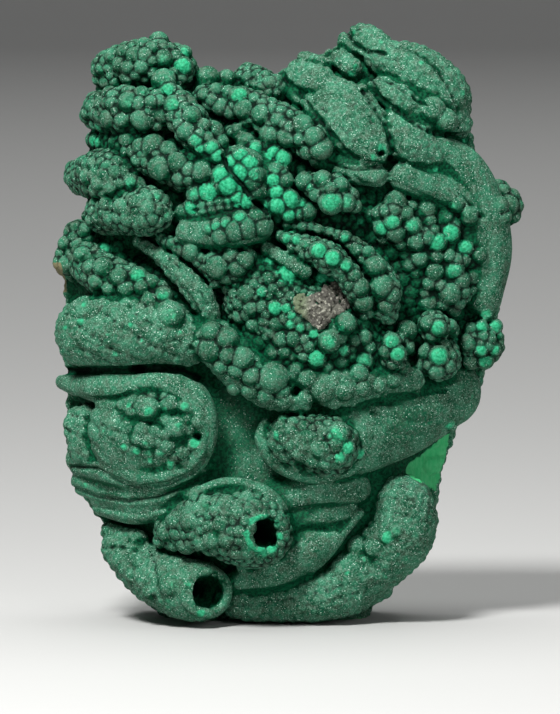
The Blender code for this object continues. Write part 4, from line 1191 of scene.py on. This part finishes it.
rim_places = mouth_rim()
rim_room = np.full(len(rim_places), KEPT_ROOM * GRID)
clear_dots = dots("kept clear", np.vstack([single[:, :3], rim_beads[:, :3], rim_places]),
                  np.concatenate([KEPT_KNOB * single[:, 3], rim_beads[:, 3], rim_room]))
growing = placed("growing", skin)
botryoids = []
for finish, radius, spacing, sink, variation, clearance, seed in GROWTHS:
    grown = run_tree(growing, knob_tree(), {
        "Strands": strand_object, "Kept clear": clear_dots, "Finish": float(finish), "Radius": radius * GRID,
        "Spacing": spacing, "Sink": sink, "Variation": variation, "Clearance": clearance,
        "Seed": seed, "Material": STONE})
    botryoids.append(grown)
    print("finish", finish, "grew", len(grown.vertices) // BALL_POINTS, "botryoids")

# %% [markdown]
# ## Grooves
#
# Each smooth fold carries the edges of the layers that wrap it, as thin lines that run with the fold,
# which the material also darkens as painted shade. Deeper creases part the lobes. Carving them as
# geometry of their own would need hundreds of thin cutters, so they are drawn as poly-lines on the
# layout grid and pressed into the melted skin.

# %% The table of grooves
GROOVES = [  # half width, depth, points
    # big crack through the emerald knobs
    (1.8, 3, [(224, 158), (228, 170), (235, 179), (244, 189), (252, 202), (262, 209), (271, 221)]),
    # gap between the shoulder and the bulb
    (3, 4.5, [(62, 371), (92, 370), (124, 370), (156, 368), (184, 370), (200, 378)]),
    # shoulder: slanting layer edges
    (2.6, 1.7, [(78, 324), (98, 340), (122, 354), (150, 364)]),
    (2.6, 1.6, [(100, 310), (124, 326), (150, 344), (176, 356)]),
    (2.6, 1.6, [(72, 345), (92, 354), (112, 362)]),
    (2.6, 1.5, [(130, 306), (150, 322), (176, 340), (196, 350)]),
    (2.4, 1.4, [(64, 312), (78, 318), (92, 318), (108, 306)]),
    # lower left: folds that wrap the bulb
    (2.5, 3.5, [(72, 467), (98, 468), (115, 478), (140, 487), (170, 483), (196, 471), (208, 456)]),
    (2.5, 3.5, [(74, 488), (100, 497), (130, 501), (160, 496), (190, 484), (212, 470)]),
    (2.3, 1.8, [(92, 506), (116, 510), (140, 514), (166, 506)]),
    (2.3, 1.6, [(68, 430), (84, 436), (98, 446), (108, 458)]),
    (2.3, 1.6, [(72, 415), (90, 420), (104, 432)]),
    (2.3, 2.0, [(80, 396), (96, 399), (116, 399), (134, 393)]),
    (2.3, 1.6, [(78, 403), (100, 408), (116, 408)]),
    # bulb rim
    (2.3, 1.5, [(186, 384), (204, 404), (212, 430), (208, 456), (194, 474)]),
    # seam between the shoulder, the striped finger and the dome
    (2.3, 1.4, [(158, 262), (174, 276), (190, 296), (200, 314)]),
    (2.3, 1.4, [(166, 256), (184, 270), (200, 288), (210, 306)]),
    # eye: collar and crack
    (2.5, 1.6, [(266, 424), (274, 438), (286, 454), (300, 464), (320, 471), (344, 470)]),
    # skirt: lower edge and fine fan
    (2.3, 1.2, [(372, 412), (400, 420), (424, 422), (448, 416)]),
    (2.3, 1.2, [(374, 424), (396, 434), (418, 434), (440, 428)]),
    (2.3, 1.2, [(374, 438), (390, 447), (408, 447)]),
    (2.3, 1.2, [(376, 402), (404, 404), (434, 402), (462, 396)]),
    (2.3, 1.0, [(384, 395), (414, 394), (444, 390)]),
    # smooth valley and foot folds
    (1.8, 1.6, [(283, 512), (308, 506), (333, 504)]),
    (2.3, 1.8, [(286, 534), (308, 527), (338, 529)]),
    (2.3, 1.0, [(240, 604), (276, 600), (310, 592), (344, 584), (372, 572)]),
    (2.3, 0.8, [(300, 606), (330, 600), (356, 592), (378, 582)]),
    (2.3, 0.9, [(372, 500), (392, 496), (412, 500), (430, 506)]),
    (2.3, 0.8, [(378, 488), (400, 486), (420, 490)]),
    (2.3, 0.8, [(370, 516), (392, 512), (414, 516), (432, 522)]),
    # tubes: collars
    (2.3, 1.0, [(206, 494), (226, 486), (250, 486), (268, 500), (277, 520), (274, 542), (260, 554)]),
    (2.3, 1.8, [(152, 552), (156, 566), (158, 580), (155, 600)]),
    (2.3, 2, [(104, 548), (122, 546), (142, 550)]),
    # long smooth fingers, upper middle
    (2.3, 1.0, [(312, 104), (330, 118), (346, 136), (362, 152)]),
    (2.3, 0.9, [(338, 92), (354, 106), (368, 124), (378, 142)]),
    # creases between the long fingers, the lobes and the drapes
    (2.2, 3.0, [(362, 94), (370, 106), (386, 131), (391, 154), (386, 168)]),
    (2.2, 2.5, [(299, 94), (319, 122), (344, 154), (364, 165), (386, 168)]),
    (2.2, 2.5, [(328, 164), (354, 173), (380, 169)]),
    (2.2, 1.5, [(341, 167), (361, 186), (377, 188), (388, 178)]),
    (2.2, 3.0, [(368, 76), (377, 99), (399, 116), (422, 132), (436, 137), (462, 136)]),
    (2.2, 2.5, [(370, 78), (393, 87), (415, 102), (424, 108)]),
    (2.2, 1.4, [(388, 166), (394, 163), (412, 168), (434, 178), (461, 197), (478, 218)]),
    (2.2, 1.0, [(391, 184), (415, 194), (441, 207), (464, 221)]),
    # petal: thin rim and layer edges
    (1.8, 2.5, [(392, 48), (412, 54), (432, 68), (446, 88), (457, 112)]),
    (2.3, 0.8, [(384, 60), (404, 66), (424, 80), (440, 100)]),
    (2.3, 3, [(346, 28), (352, 44), (366, 54), (384, 56)]),
    # drapes
    (2.3, 0.8, [(452, 158), (474, 178), (490, 206)]),
    # rows of banana fingers
    (2.3, 2, [(196, 212), (216, 208), (238, 206)]),
]


def pressed(places, table, widen=1.0):
    """Depth that the grooves press into each place of the front, in grid steps."""
    column, row, height = read_grid(places)
    depth = np.zeros(len(places))
    front = np.clip((height + 30) / 20, 0, 1)
    for width, deep, points in table:
        width = width * widen
        corners = np.array(points, float)
        near = ((column > corners[:, 0].min() - 3 * width) & (column < corners[:, 0].max() + 3 * width)
                & (row > corners[:, 1].min() - 3 * width) & (row < corners[:, 1].max() + 3 * width))
        index = np.nonzero(near)[0]
        closest = np.full(len(index), 1e9)
        for start, stop in zip(corners[:-1], corners[1:]):
            along = stop - start
            from_x = column[index] - start[0]
            from_y = row[index] - start[1]
            share = np.clip((from_x * along[0] + from_y * along[1]) / (along @ along), 0, 1)
            closest = np.minimum(closest, np.hypot(from_x - share * along[0], from_y - share * along[1]))
        ends = np.exp(-(closest / width) ** 2)
        depth[index] = np.maximum(depth[index], deep * ends)
    return depth * front


print(len(GROOVES), "grooves, the deepest", max(deep for _, deep, _ in GROOVES) * GRID * 1000, "mm")

# %% [markdown]
# ## One fine skin
#
# Knobs, botryoids and skin only overlap so far. A second, finer voxel remesh melts them together, as
# later films of stone do in nature: every ball keeps its round front, and the gaps between balls
# fill up a little. The grooves are pressed in, and a decimate leaves as many triangles as other
# programs can handle. Bubbles that the melt closed in can't be seen, so only the outer skin is kept.

# %% Melt, press and thin out
def ball_mesh(name, rows, detail):
    """Balls as one mesh, from rows of x, y, z, radius."""
    shape = bmesh.new()
    bmesh.ops.create_icosphere(shape, subdivisions=detail, radius=1)
    ball = np.array([vertex.co for vertex in shape.verts])
    corners = np.array([[vertex.index for vertex in face.verts] for face in shape.faces])
    shape.free()
    places = (ball[None] * rows[:, 3, None, None] + rows[:, None, :3]).reshape(-1, 3)
    loops = (corners[None] + (np.arange(len(rows)) * len(ball))[:, None, None]).ravel()
    return plain_mesh(name, places, loops, np.full(len(loops) // 3, 3))


def melted_stone():
    """Skin, single knobs and botryoids as one fine skin."""
    knobs = ball_mesh("single knobs", np.vstack([single, rim_beads]), BALL_DETAIL)
    whole = joined("whole", [skin, knobs] + botryoids)
    trim(whole)
    return melt(whole, FINE_CELL)


def thinned_out(mesh, triangles):
    """A melted mesh brought down to a number of triangles; each of its faces counts as two."""
    ratio = min(1, triangles / (2 * len(mesh.polygons)))
    return modified(mesh, "DECIMATE", ratio=ratio, use_collapse_triangulate=True)


def outer_skin(mesh):
    """The mesh without the closed pockets inside it."""
    corners, counts = read_faces(mesh)
    edges = read_edges(mesh)
    label = np.arange(len(mesh.vertices))
    while True:
        low = np.minimum(label[edges[:, 0]], label[edges[:, 1]])
        fresh = label.copy()
        np.minimum.at(fresh, edges[:, 0], low)
        np.minimum.at(fresh, edges[:, 1], low)
        fresh = fresh[fresh]
        if np.array_equal(fresh, label):
            break
        label = fresh
    names, sizes = np.unique(label, return_counts=True)
    keep = label == names[np.argmax(sizes)]
    kept_faces = keep[corners[face_starts(counts)]]
    fresh_index = np.cumsum(keep) - 1
    kept_corners = fresh_index[corners[np.repeat(kept_faces, counts)]]
    return plain_mesh("outer", read_vertices(mesh)[keep], kept_corners, counts[kept_faces]), len(names)


def vertex_normals(mesh):
    """Unit vertex normals as an array."""
    found = np.empty(len(mesh.vertices) * 3, np.float32)
    mesh.vertex_normals.foreach_get("vector", found)
    return found.reshape(-1, 3).astype(float)


stone_mesh = melted_stone()
print("melted:", len(stone_mesh.polygons), "faces")
places = read_vertices(stone_mesh)
normals = vertex_normals(stone_mesh)
places -= normals * (pressed(places, GROOVES) * GRID)[:, None]
places[:, 2] = np.where(places[:, 2] < 0.6 * FINE_CELL, 0, places[:, 2])
stone_mesh.vertices.foreach_set("co", places.astype(np.float32).ravel())
stone_mesh.update()
stone_mesh, shells = outer_skin(thinned_out(stone_mesh, STONE_TRIANGLES))
print("thinned out:", len(stone_mesh.polygons), "triangles;", shells - 1, "inner pockets dropped")

# %% [markdown]
# ## What the surface remembers
#
# The material needs to know, for each place, how hollow it lies and how little light gets in, which
# set its painted shade, whether its velvet is worn off and whether it is a broken face. All of that is
# measured on the finished mesh and stored on its vertices, where it stays with the mesh in any other
# program. Three tables help the measures: rubbed spots, areas where green shines through or painted
# shade darkens the skirt, and dips that velvet and painted light line.

# %% The tables of worn spots, greener and shaded areas, and lined and lit dips
SPOTS = [  # x, y, radius, strength: rubbed or bruised places besides the single knobs
    (150, 411, 7, 0.8), (131, 404, 4, 0.9), (137, 409, 4, 0.7), (186, 406, 6, 0.8), (166, 408, 4, 0.6),
    (181, 424, 6, 0.7), (172, 421, 4, 0.5), (147, 442, 4, 0.7), (196, 441, 7, 1.0), (208, 433, 4, 0.8),
    (202, 452, 4, 0.7), (238, 162, 11, 0.8), (248, 170, 12, 0.8), (228, 183, 12, 0.85),
    (241, 203, 9, 0.75), (209, 195, 9, 0.6), (279, 206, 12, 0.7), (290, 203, 10, 0.7), (198, 197, 7, 0.5),
    (192, 208, 6, 0.7), (218, 229, 6, 0.5), (86, 305, 4, 0.8), (83, 322, 5, 0.8), (67, 328, 4, 0.8),
    (111, 335, 4, 0.7), (133, 325, 4, 0.8), (117, 354, 4, 0.8), (144, 340, 3, 0.7), (65, 350, 4, 0.7),
    (181, 332, 4, 0.7), (85, 485, 4, 0.7), (98, 483, 3, 0.7), (98, 502, 3, 0.7), (108, 513, 3, 0.6),
    (76, 460, 3, 0.6), (172, 466, 4, 0.7), (203, 451, 4, 0.7), (283, 411, 4, 0.8), (363, 558, 4, 0.7),
    (405, 557, 4, 0.7), (384, 575, 4, 0.7), (347, 572, 4, 0.7), (356, 583, 3, 0.6), (202, 611, 6, 0.9),
    (170, 598, 5, 0.7), (189, 581, 5, 0.7), (262, 549, 8, 1.0), (250, 545, 5, 0.8), (272, 545, 7, 1.0),
    (279, 534, 6, 0.9), (277, 521, 5, 0.8), (267, 514, 4, 0.7), (246, 531, 4, 0.8), (352, 75, 6, 0.8),
    (420, 65, 4, 0.7), (405, 60, 3, 0.7), (380, 43, 4, 0.7), (401, 121, 4, 0.7), (432, 172, 4, 0.7),
    (444, 146, 4, 0.7), (465, 140, 5, 0.7), (471, 151, 5, 0.7), (461, 95, 4, 0.7), (380, 151, 6, 0.9),
    (372, 160, 5, 0.8), (388, 155, 4, 0.8), (447, 425, 5, 0.9), (340, 329, 6, 0.6), (329, 343, 6, 0.8),
    (355, 69, 5, 0.7), (201, 151, 6, 0.8), (118, 173, 5, 0.5), (97, 132, 8, 0.9), (95, 142, 8, 0.9),
    (360, 452, 5, 0.9), (474, 410, 4, 0.7), (470, 398, 3, 0.6), (413, 176, 3, 0.6), (487, 178, 3, 0.6),
    (300, 60, 4, 0.5), (62, 385, 4, 0.6), (104, 60, 4, 0.4), (172, 75, 4, 0.6), (226, 205, 6, 0.5),
    (290, 232, 5, 0.7), (300, 393, 4, 0.6), (330, 382, 4, 0.4), (240, 345, 4, 0.4), (196, 345, 4, 0.3),
    (152, 262, 5, 0.5), (176, 270, 5, 0.4), (152, 448, 4, 0.5), (130, 595, 4, 0.4), (230, 612, 4, 0.4),
    (270, 605, 4, 0.4), (318, 602, 4, 0.4),
]
RICH_AND_SHADE = [  # x, y, radius, strength: areas where the velvet is thin and the green comes through; the one on the skirt is painted shade
    (240, 185, 40, 1.0), (285, 200, 40, 0.9), (262, 228, 34, 0.8), (270, 285, 45, 0.8),
    (310, 345, 40, 0.5), (435, 240, 40, 0.6), (390, 220, 35, 0.5), (205, 150, 28, 0.6),
    (345, 265, 34, 0.7), (145, 265, 34, 0.5), (480, 335, 26, 0.5), (395, 345, 26, 0.4),
    (437, 350, 26, 0.5), (160, 425, 34, 0.5), (335, 445, 34, 0.5), (240, 528, 34, 0.5),
    (280, 575, 60, 0.45), (340, 600, 50, 0.45), (330, 520, 40, 0.3), (430, 440, 40, 0.7),
    # the third area here, on the skirt below the dome, is painted shade
    (180, 60, 22, 0.5), (130, 95, 40, 0.2), (405, 418, 46, 0.95), (350, 125, 28, 0.3),
]
FROSTED_AND_LIT = [  # x, y, radius, strength: dips that the velvet lines all the same, with painted light raised and painted shade lifted
    (236, 425, 36, 0.65), (255, 462, 36, 0.75), (228, 400, 22, 0.6), (300, 492, 34, 0.6),
]
PANEL = [  # the fresh break in the right flank
    (404, 466), (424, 454), (440, 438), (450, 432), (446, 456), (441, 474), (436, 494), (424, 484),
    (408, 476),
]
LEFT_RIM = [(53, 262), (62, 262), (68, 292), (60, 294)]  # the strip of brown matrix on the left edge
print(len(SPOTS), "worn spots,", len(RICH_AND_SHADE), "rich areas,", len(FROSTED_AND_LIT), "lined dips")


# %% Measuring tools
def neighbours(mesh):
    """Both ends of every edge, both ways round, and how many edges each vertex has."""
    edges = read_edges(mesh)
    here = np.concatenate([edges[:, 0], edges[:, 1]])
    there = np.concatenate([edges[:, 1], edges[:, 0]])
    return here, there, np.bincount(here, minlength=len(mesh.vertices)).astype(float)


def averaged(values, links, rounds):
    """Values passed to their neighbours a few times."""
    here, there, count = links
    for _ in range(rounds):
        if values.ndim == 1:
            values = 0.5 * values + 0.5 * np.bincount(here, values[there], len(count)) / count
        else:
            values = np.column_stack([averaged(column, links, 1) for column in values.T])
    return values


def smooth_step(value, low, high):
    """0 below low, 1 above high, with soft ends."""
    share = np.clip((value - low) / (high - low), 0, 1)
    return share * share * (3 - 2 * share)


def inside(column, row, corners):
    """1 inside a polygon of the layout grid, 0 outside it."""
    found = np.zeros(len(column), bool)
    for (x0, y0), (x1, y1) in zip(corners, corners[1:] + corners[:1]):
        crosses = (y0 > row) != (y1 > row)
        found ^= crosses & (column < (x1 - x0) * (row - y0) / (y1 - y0 + 1e-9) + x0)
    return found.astype(float)


print("measuring", len(stone_mesh.vertices), "vertices")

# %% [markdown]
# ## Two slow measures: light and balls
#
# How much light a place gets is found by shooting rays out of it and asking which of them meet the
# stone again nearby; the colour paints shade where little gets in. The seams between knobs, which
# also get painted shade, are found another way: a place whose two nearest balls are equally near,
# counted in their radii, lies in the seam between them. Both could be baked into a picture, but
# numbers on the vertices stay sharp and need no picture.

# %% Light and balls
SKY_REACH = 0.0036              # metres, how far stone that hides the light is looked for
SKY_RAYS = 16   # rays from each vertex
SKY_SPREAD = 0.95               # how far the rays fan out about the normal
SKY_START = 0.00012             # metres, how far above the skin they start
CLOSE_BALLS = 5                 # balls whose distances are compared


def hidden_sky(mesh, normals):
    """How much of what each vertex faces is stone again nearby, from 0 to 1."""
    rays = tree_of(mesh)
    random = np.random.RandomState(SEED)
    blocked = np.zeros(len(normals))
    starts = read_vertices(mesh) + normals * SKY_START
    for _ in range(SKY_RAYS):
        tilt = random.normal(size=(len(normals), 3))
        tilt /= np.linalg.norm(tilt, axis=1)[:, None]
        ways = normals + SKY_SPREAD * tilt
        ways /= np.linalg.norm(ways, axis=1)[:, None]
        for index, (start, way) in enumerate(zip(starts.tolist(), ways.tolist())):
            far = rays.ray_cast(start, way, SKY_REACH)[3]
            if far is not None:
                blocked[index] += 1 - far / SKY_REACH
    return blocked / SKY_RAYS


def ball_distances(places):
    """Distance to the closest and to the next ball, in their radii; 1 where the closest stands out."""
    standing = np.arange(len(single)) < len(KNOBS + CRACK_KNOBS + PACKED_KNOBS + RIGHT_KNOB)
    rows = [np.column_stack([single[:, :4], standing])]
    for (finish, *_), grown in zip(GROWTHS, botryoids):
        groups = read_vertices(grown).reshape(-1, BALL_POINTS, 3)
        middle = groups.mean(axis=1)
        reach_out = np.linalg.norm(groups - middle[:, None], axis=2).max(axis=1)
        rows.append(np.column_stack([middle, reach_out, np.full(len(middle), finish != DIMPLED)]))
    balls = np.vstack(rows)
    lookup = KDTree(len(balls))
    for index, place in enumerate(balls[:, :3].tolist()):
        lookup.insert(place, index)
    lookup.balance()
    found = np.empty((len(places), 3))
    radii = balls[:, 3].tolist()
    for index, place in enumerate(places.tolist()):
        shares = sorted((far / radii[ball], ball) for _, ball, far in lookup.find_n(place, CLOSE_BALLS))
        found[index] = shares[0][0], shares[1][0], shares[0][1]
    return found[:, 0], found[:, 1], balls[found[:, 2].astype(int), 4]


print("up to", SKY_RAYS, "rays a vertex, each", SKY_REACH * 1000, "mm long")

# %% [markdown]
# ## All measures together
#
# Each measure is a share between 0 and 1 that is written as a product of simple rules: what faces up
# and stands out is velvety and gets painted light, what lies between standing balls or in a hollow
# gets painted shade, what sticks out is worn. The rules are the same over the whole stone, so the
# back and the sides get the same skin as the front.

# %% Measures
class Surface:
    """What all measures share: the vertices, where they lie and which way they face."""

    def __init__(self, mesh):
        self.places = read_vertices(mesh)
        self.normals = vertex_normals(mesh)
        self.column, self.row, self.height = read_grid(self.places)
        self.links = neighbours(mesh)
        self.facing = smooth_step(-self.normals[:, 1] + 0.3 * self.normals[:, 2], -0.1, 0.5)
        self.shade = averaged(hidden_sky(mesh, self.normals), self.links, 3)

    def below(self, average):
        """How far each place lies below an averaged surface, in grid steps."""
        return np.einsum("ij,ij->i", average - self.places, self.normals) / GRID


def lit_tops(surface, wide, broad):
    """Velvet and painted light on what faces up and out and stands out of its surroundings; painted shade in
    hollows and where little light gets in.
    """
    general = averaged(surface.normals, surface.links, 40)
    general += (0.0, -0.1, 0.3)
    general /= np.linalg.norm(general, axis=1)[:, None]
    upright = np.einsum("ij,ij->i", surface.normals, general)
    # painted light and shade: high where the skin faces up and out, low in hollows and dim places
    top = smooth_step(upright, 0.35, 0.95) * (1 - 0.6 * smooth_step(surface.below(wide), 0.0, 1.5))
    top *= 1 - 0.7 * smooth_step(surface.shade, 0.2, 0.55)
    return top * (1 - 0.6 * smooth_step(surface.below(broad), -1.2, 1.5))


def shaded_cracks(surface, near):
    """Painted shade in seams between balls, hollows and grooves; and the velvet, which is thinner on standing
    balls.
    """
    first, second, standing = ball_distances(surface.places)
    seam = smooth_step(first - second, -0.22, -0.02) * smooth_step(-second, -1.5, -1.25) * standing
    low_seam = smooth_step(first - second, -0.18, -0.01) * smooth_step(-second, -2.4, -2.0)
    seam += 0.55 * low_seam * (1 - standing)
    velvet = 1 - 0.35 * averaged(standing * smooth_step(-first, -1.4, -1.1), surface.links, 4)
    standing = averaged(standing * smooth_step(-first, -1.9, -1.4), surface.links, 3)
    # painted shade: hollows and places that little light reaches
    hollow = 0.6 * smooth_step(surface.below(near), 0.2, 1.0) + 0.85 * smooth_step(surface.shade, 0.36, 0.72)
    groove = np.minimum(pressed(surface.places, GROOVES, 0.8), 3)
    return np.clip(0.75 * seam + (0.22 + 0.78 * standing) * hollow + 0.2 * groove, 0, 1), velvet


def worn_places(surface):
    """Rubbed tops of single knobs, and the rubbed spots of the table."""
    worn = np.zeros(len(surface.places))
    sight = -np.array(SIGHT)
    for centre_x, centre_y, centre_z, radius, strength in np.vstack([single, rim_beads]):
        if strength > 0:
            off = surface.places - (centre_x, centre_y, centre_z)
            far = np.sqrt((off ** 2).sum(axis=1))
            toward = (off @ sight) / np.maximum(far, 1e-9)
            cover = smooth_step(toward, 0.88 - 0.6 * strength, 1.12 - 0.3 * strength)
            on_ball = smooth_step(-far, -1.3 * radius, -1.1 * radius)
            worn = np.maximum(worn, strength * cover * on_ball)
    for x, y, radius, strength in SPOTS:
        far = np.hypot(surface.column - x, surface.row - y)
        on_spot = smooth_step(-far, -1.3 * radius, -0.3 * radius)
        worn = np.maximum(worn, surface.facing * strength * on_spot)
    return worn * (1 - smooth_step(surface.shade, 0.25, 0.5))


def strongest(surface, spots):
    """For each place of the front, the strongest of some soft round spots."""
    found = np.zeros(len(surface.places))
    for x, y, radius, strength in spots:
        found = np.maximum(found, strength * closeness(surface.column, surface.row, x, y, radius))
    return found * surface.facing


def broken_faces(surface):
    """The fracture planes of the back, the sawn foot and the small fresh break in the flank."""
    behind = surface.places[:, 1] - broken_back(surface.places)
    broken = np.maximum(smooth_step(behind, -0.0006, -0.0002),
                        smooth_step(-surface.places[:, 2], -0.00025, -0.0001))
    panel = inside(surface.column, surface.row, PANEL) * surface.facing
    return np.maximum(broken, panel), panel


def surface_values(mesh):
    """All values the material reads, by name."""
    surface = Surface(mesh)
    near = averaged(surface.places, surface.links, 5)
    wide = averaged(near, surface.links, 19)
    broad = averaged(wide, surface.links, 130)
    top = lit_tops(surface, wide, broad)
    crack, velvet = shaded_cracks(surface, near)
    # painted light in the listed dips: the velvet's painted light is raised there and the painted crack shade
    # lifted
    for spot_row in FROSTED_AND_LIT:
        lined = strongest(surface, [spot_row])
        top = np.maximum(top, lined)
        crack *= 1 - 0.7 * lined
    broken, panel = broken_faces(surface)
    rim = inside(surface.column, surface.row, LEFT_RIM) * (surface.height < 40) * (surface.height > -30)
    # top holds painted light and shade, crack holds painted shade
    return {"top": top, "crack": crack, "worn": worn_places(surface), "rich_and_shade": strongest(surface, RICH_AND_SHADE),
            "velvet": velvet, "broken": averaged(broken, surface.links, 1), "panel": panel,
            "rim": averaged(rim, surface.links, 1)}


# %% Store the measures and finish the stone
measured = surface_values(stone_mesh)
for name, values in measured.items():
    store(stone_mesh, name, values)
    print(f"{name:7s} mean {values.mean():.3f}, a tenth of the stone is above {np.quantile(values, 0.9):.2f}")
stone_mesh.materials.clear()
stone_mesh.materials.append(STONE)
stone_mesh.shade_smooth()
for helper in (block, strand_object, bores, growing, clear_dots):
    bpy.data.objects.remove(helper)
stone = placed("malachite_stone", stone_mesh)
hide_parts("malachite")
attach(stone, "root")

# %% [markdown]
# ## The porous crust
#
# On the dome sits a patch of brown-grey limonite, the iron crust that often comes with copper. It is
# a crumbly sponge of grains, so it is melted from a few hundred small balls scattered inside a drawn
# outline. The gaps left between the grains are its pits.

# %% Crust
CRUST_CELL = 0.00014
CRUST_TRIANGLES = 30000
CRUST_GRAINS = 520
CRUST_CRYSTALS, CRUST_CLOUDS = 2600, 500        # cells and waves per metre
EARTH = srgb(56, 54, 48), srgb(92, 92, 82)      # brown-grey grains
SPARK = srgb(150, 150, 136)                     # a few pale grains
STAINED = srgb(80, 98, 66)                      # green that has crept into the left edge
STAIN = 312, 300                                # grid columns between which it grows
# painted shade in the pits between grains
PIT_SHADE = srgb(20, 19, 16)
CRUST = [  # its outline on the dome
    (293, 301), (300, 295), (308, 298), (317, 295), (325, 286), (335, 283), (343, 286), (350, 295),
    (352, 303), (345, 310), (343, 315), (335, 315), (328, 322), (320, 330), (313, 325), (305, 318),
    (297, 312),
]


def crust_surface():
    """Dull, crumbly brown-grey iron crust with a greenish left edge and painted shade in its pits."""
    made, tree, surface = new_material("iron_crust", 0.85)
    place = node(tree, "ShaderNodeTexCoord").outputs["Object"]
    grain = cells(tree, place, CRUST_CRYSTALS)
    chance = node(tree, "ShaderNodeSeparateColor", {0: grain.outputs["Color"]}).outputs
    cloud = noise(tree, place, CRUST_CLOUDS, 3)
    side = node(tree, "ShaderNodeSeparateXYZ", {0: place}).outputs["X"]
    stained = ramp(tree, side, *((column - MIDDLE_X) * GRID for column in STAIN))
    colour = blend(tree, ramp(tree, cloud, 0.3, 0.7), *EARTH)
    colour = blend(tree, times(tree, ramp(tree, chance[0], 0.8, 0.9), 0.6), colour, SPARK)
    colour = blend(tree, times(tree, stained, 0.7), colour, STAINED)
    # painted shade: the deeper a pit, the nearer black
    colour = blend(tree, times(tree, ramp(tree, reading(tree, "pit_shade"), 0.1, 0.8), 0.8), colour, PIT_SHADE)
    tree.links.new(colour, surface.inputs["Base Color"])
    tree.links.new(bump(tree, grain.outputs["Distance"], 0.7, 0.0002), surface.inputs["Normal"])
    return made


def crust_mesh():
    """Grains that lie on the dome inside the outline, melted together; the gaps are its pits."""
    random = np.random.RandomState(SEED + 1)
    rays = tree_of(stone_mesh)
    low = np.min(CRUST, axis=0)
    high = np.max(CRUST, axis=0)
    grains = []
    while len(grains) < CRUST_GRAINS:
        x, y = random.uniform(low, high)
        if inside(np.array([x]), np.array([y]), CRUST)[0]:
            place = look_at(rays, x, y)[0]
            radius = random.uniform(1.3, 2.6) * GRID
            grains.append((*(place - SIGHT * random.uniform(-0.8, 2.6) * GRID), radius))
    melted, _ = outer_skin(melt(ball_mesh("grains", np.array(grains), 2), CRUST_CELL))
    return thinned_out(melted, CRUST_TRIANGLES)


crust_data = crust_mesh()
links = neighbours(crust_data)
places = read_vertices(crust_data)
# how deep each place lies in a pit, for its painted shade
depth = np.einsum("ij,ij->i", averaged(places, links, 12) - places, vertex_normals(crust_data)) / GRID
store(crust_data, "pit_shade", smooth_step(depth, -0.1, 0.9))
crust_data.materials.append(crust_surface())
crust_data.shade_smooth()
crust = placed("porous_crust", crust_data)
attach(crust, "root")
print("crust:", len(crust_data.polygons), "triangles")

# %% [markdown]
# ## Floor, light and camera
#
# A pale round floor that curves up into a wall on every side shows the stone as a collector's
# catalogue would, from any side. The key lamp hangs high in front and to the left, so every knob is
# bright on top and its valleys stay deep. A weak fill opens the right side, and a wide ceiling lamp
# over the floor behind keeps the background soft. The camera stands far off with a long lens and
# looks down by 4 degrees.


# %% Studio
def round_floor(radius=4.0, bend=1.5, turns=72, steps=12):
    """A pale floor that curves up into a wall on every side, far outside the camera."""
    profile = [(radius, 0.0)]
    for step in range(1, steps + 1):
        angle = step / steps * math.pi / 2
        profile.append((radius + bend * math.sin(angle), bend - bend * math.cos(angle)))
    profile.append((radius + bend, 2 * bend))
    vertices = []
    for far, high in profile:
        for angle in np.linspace(0, 2 * math.pi, turns, endpoint=False):
            vertices.append((far * math.cos(angle), far * math.sin(angle), high))
    faces = [tuple(range(turns))]
    for row in range(len(profile) - 1):
        for step in range(turns):
            first, second = row * turns + step, row * turns + (step + 1) % turns
            faces.append((first, first + turns, second + turns, second))
    made = new_object("floor", np.array(vertices), faces)
    made.data.shade_smooth()
    material, tree, surface = new_material("pale_floor", 0.6)
    surface.inputs["Base Color"].default_value = srgb(172, 172, 170)
    made.data.materials.append(material)
    return made


def lamp(name, place, size, power, aim=(0.0, 0.0, 0.06)):
    """A square area lamp that looks at the stone."""
    data = bpy.data.lights.new(name, "AREA")
    data.size = size
    data.energy = power
    made = placed(name, data)
    made.location = place
    made.rotation_euler = (Vector(aim) - Vector(place)).to_track_quat("-Z", "Y").to_euler()
    return made


floor = round_floor()
lamps = [
    lamp("key", (-0.26, -0.52, 0.72), 0.20, 15.0),
    lamp("fill", (0.35, -0.85, 0.30), 0.3, 2.4),
    lamp("ceiling", (0.0, 0.8, 3.0), 3.0, 80, (0.0, 0.8, 0.0)),
]
world = bpy.data.worlds.new("studio")
world.use_nodes = True
world.node_tree.nodes["Background"].inputs["Color"].default_value = (0.9, 0.93, 1.0, 1)
world.node_tree.nodes["Background"].inputs["Strength"].default_value = 0.08
bpy.context.scene.world = world
print(len(lamps), "lamps,", len(floor.data.polygons), "faces of floor and wall")

# %% Camera
DISTANCE = 1.5
FRAME_HEIGHT = 714 * GRID        # what the picture shows from bottom to top, at the stone
FILM = 36.0                      # millimetres
AIM = spot(280.0, 357.0, 0.0)    # the middle of that picture
eye = placed("eye", bpy.data.cameras.new("eye"))
eye.data.lens = FILM * DISTANCE / FRAME_HEIGHT
eye.location = Vector(AIM) - SIGHT * DISTANCE
eye.rotation_euler = SIGHT.to_track_quat("-Z", "Y").to_euler()
eye.data.clip_start = 0.05
eye.data.clip_end = 20
bpy.context.scene.camera = eye
bpy.context.scene.view_settings.view_transform = "Standard"
print("lens", round(eye.data.lens), "mm at", DISTANCE, "m")
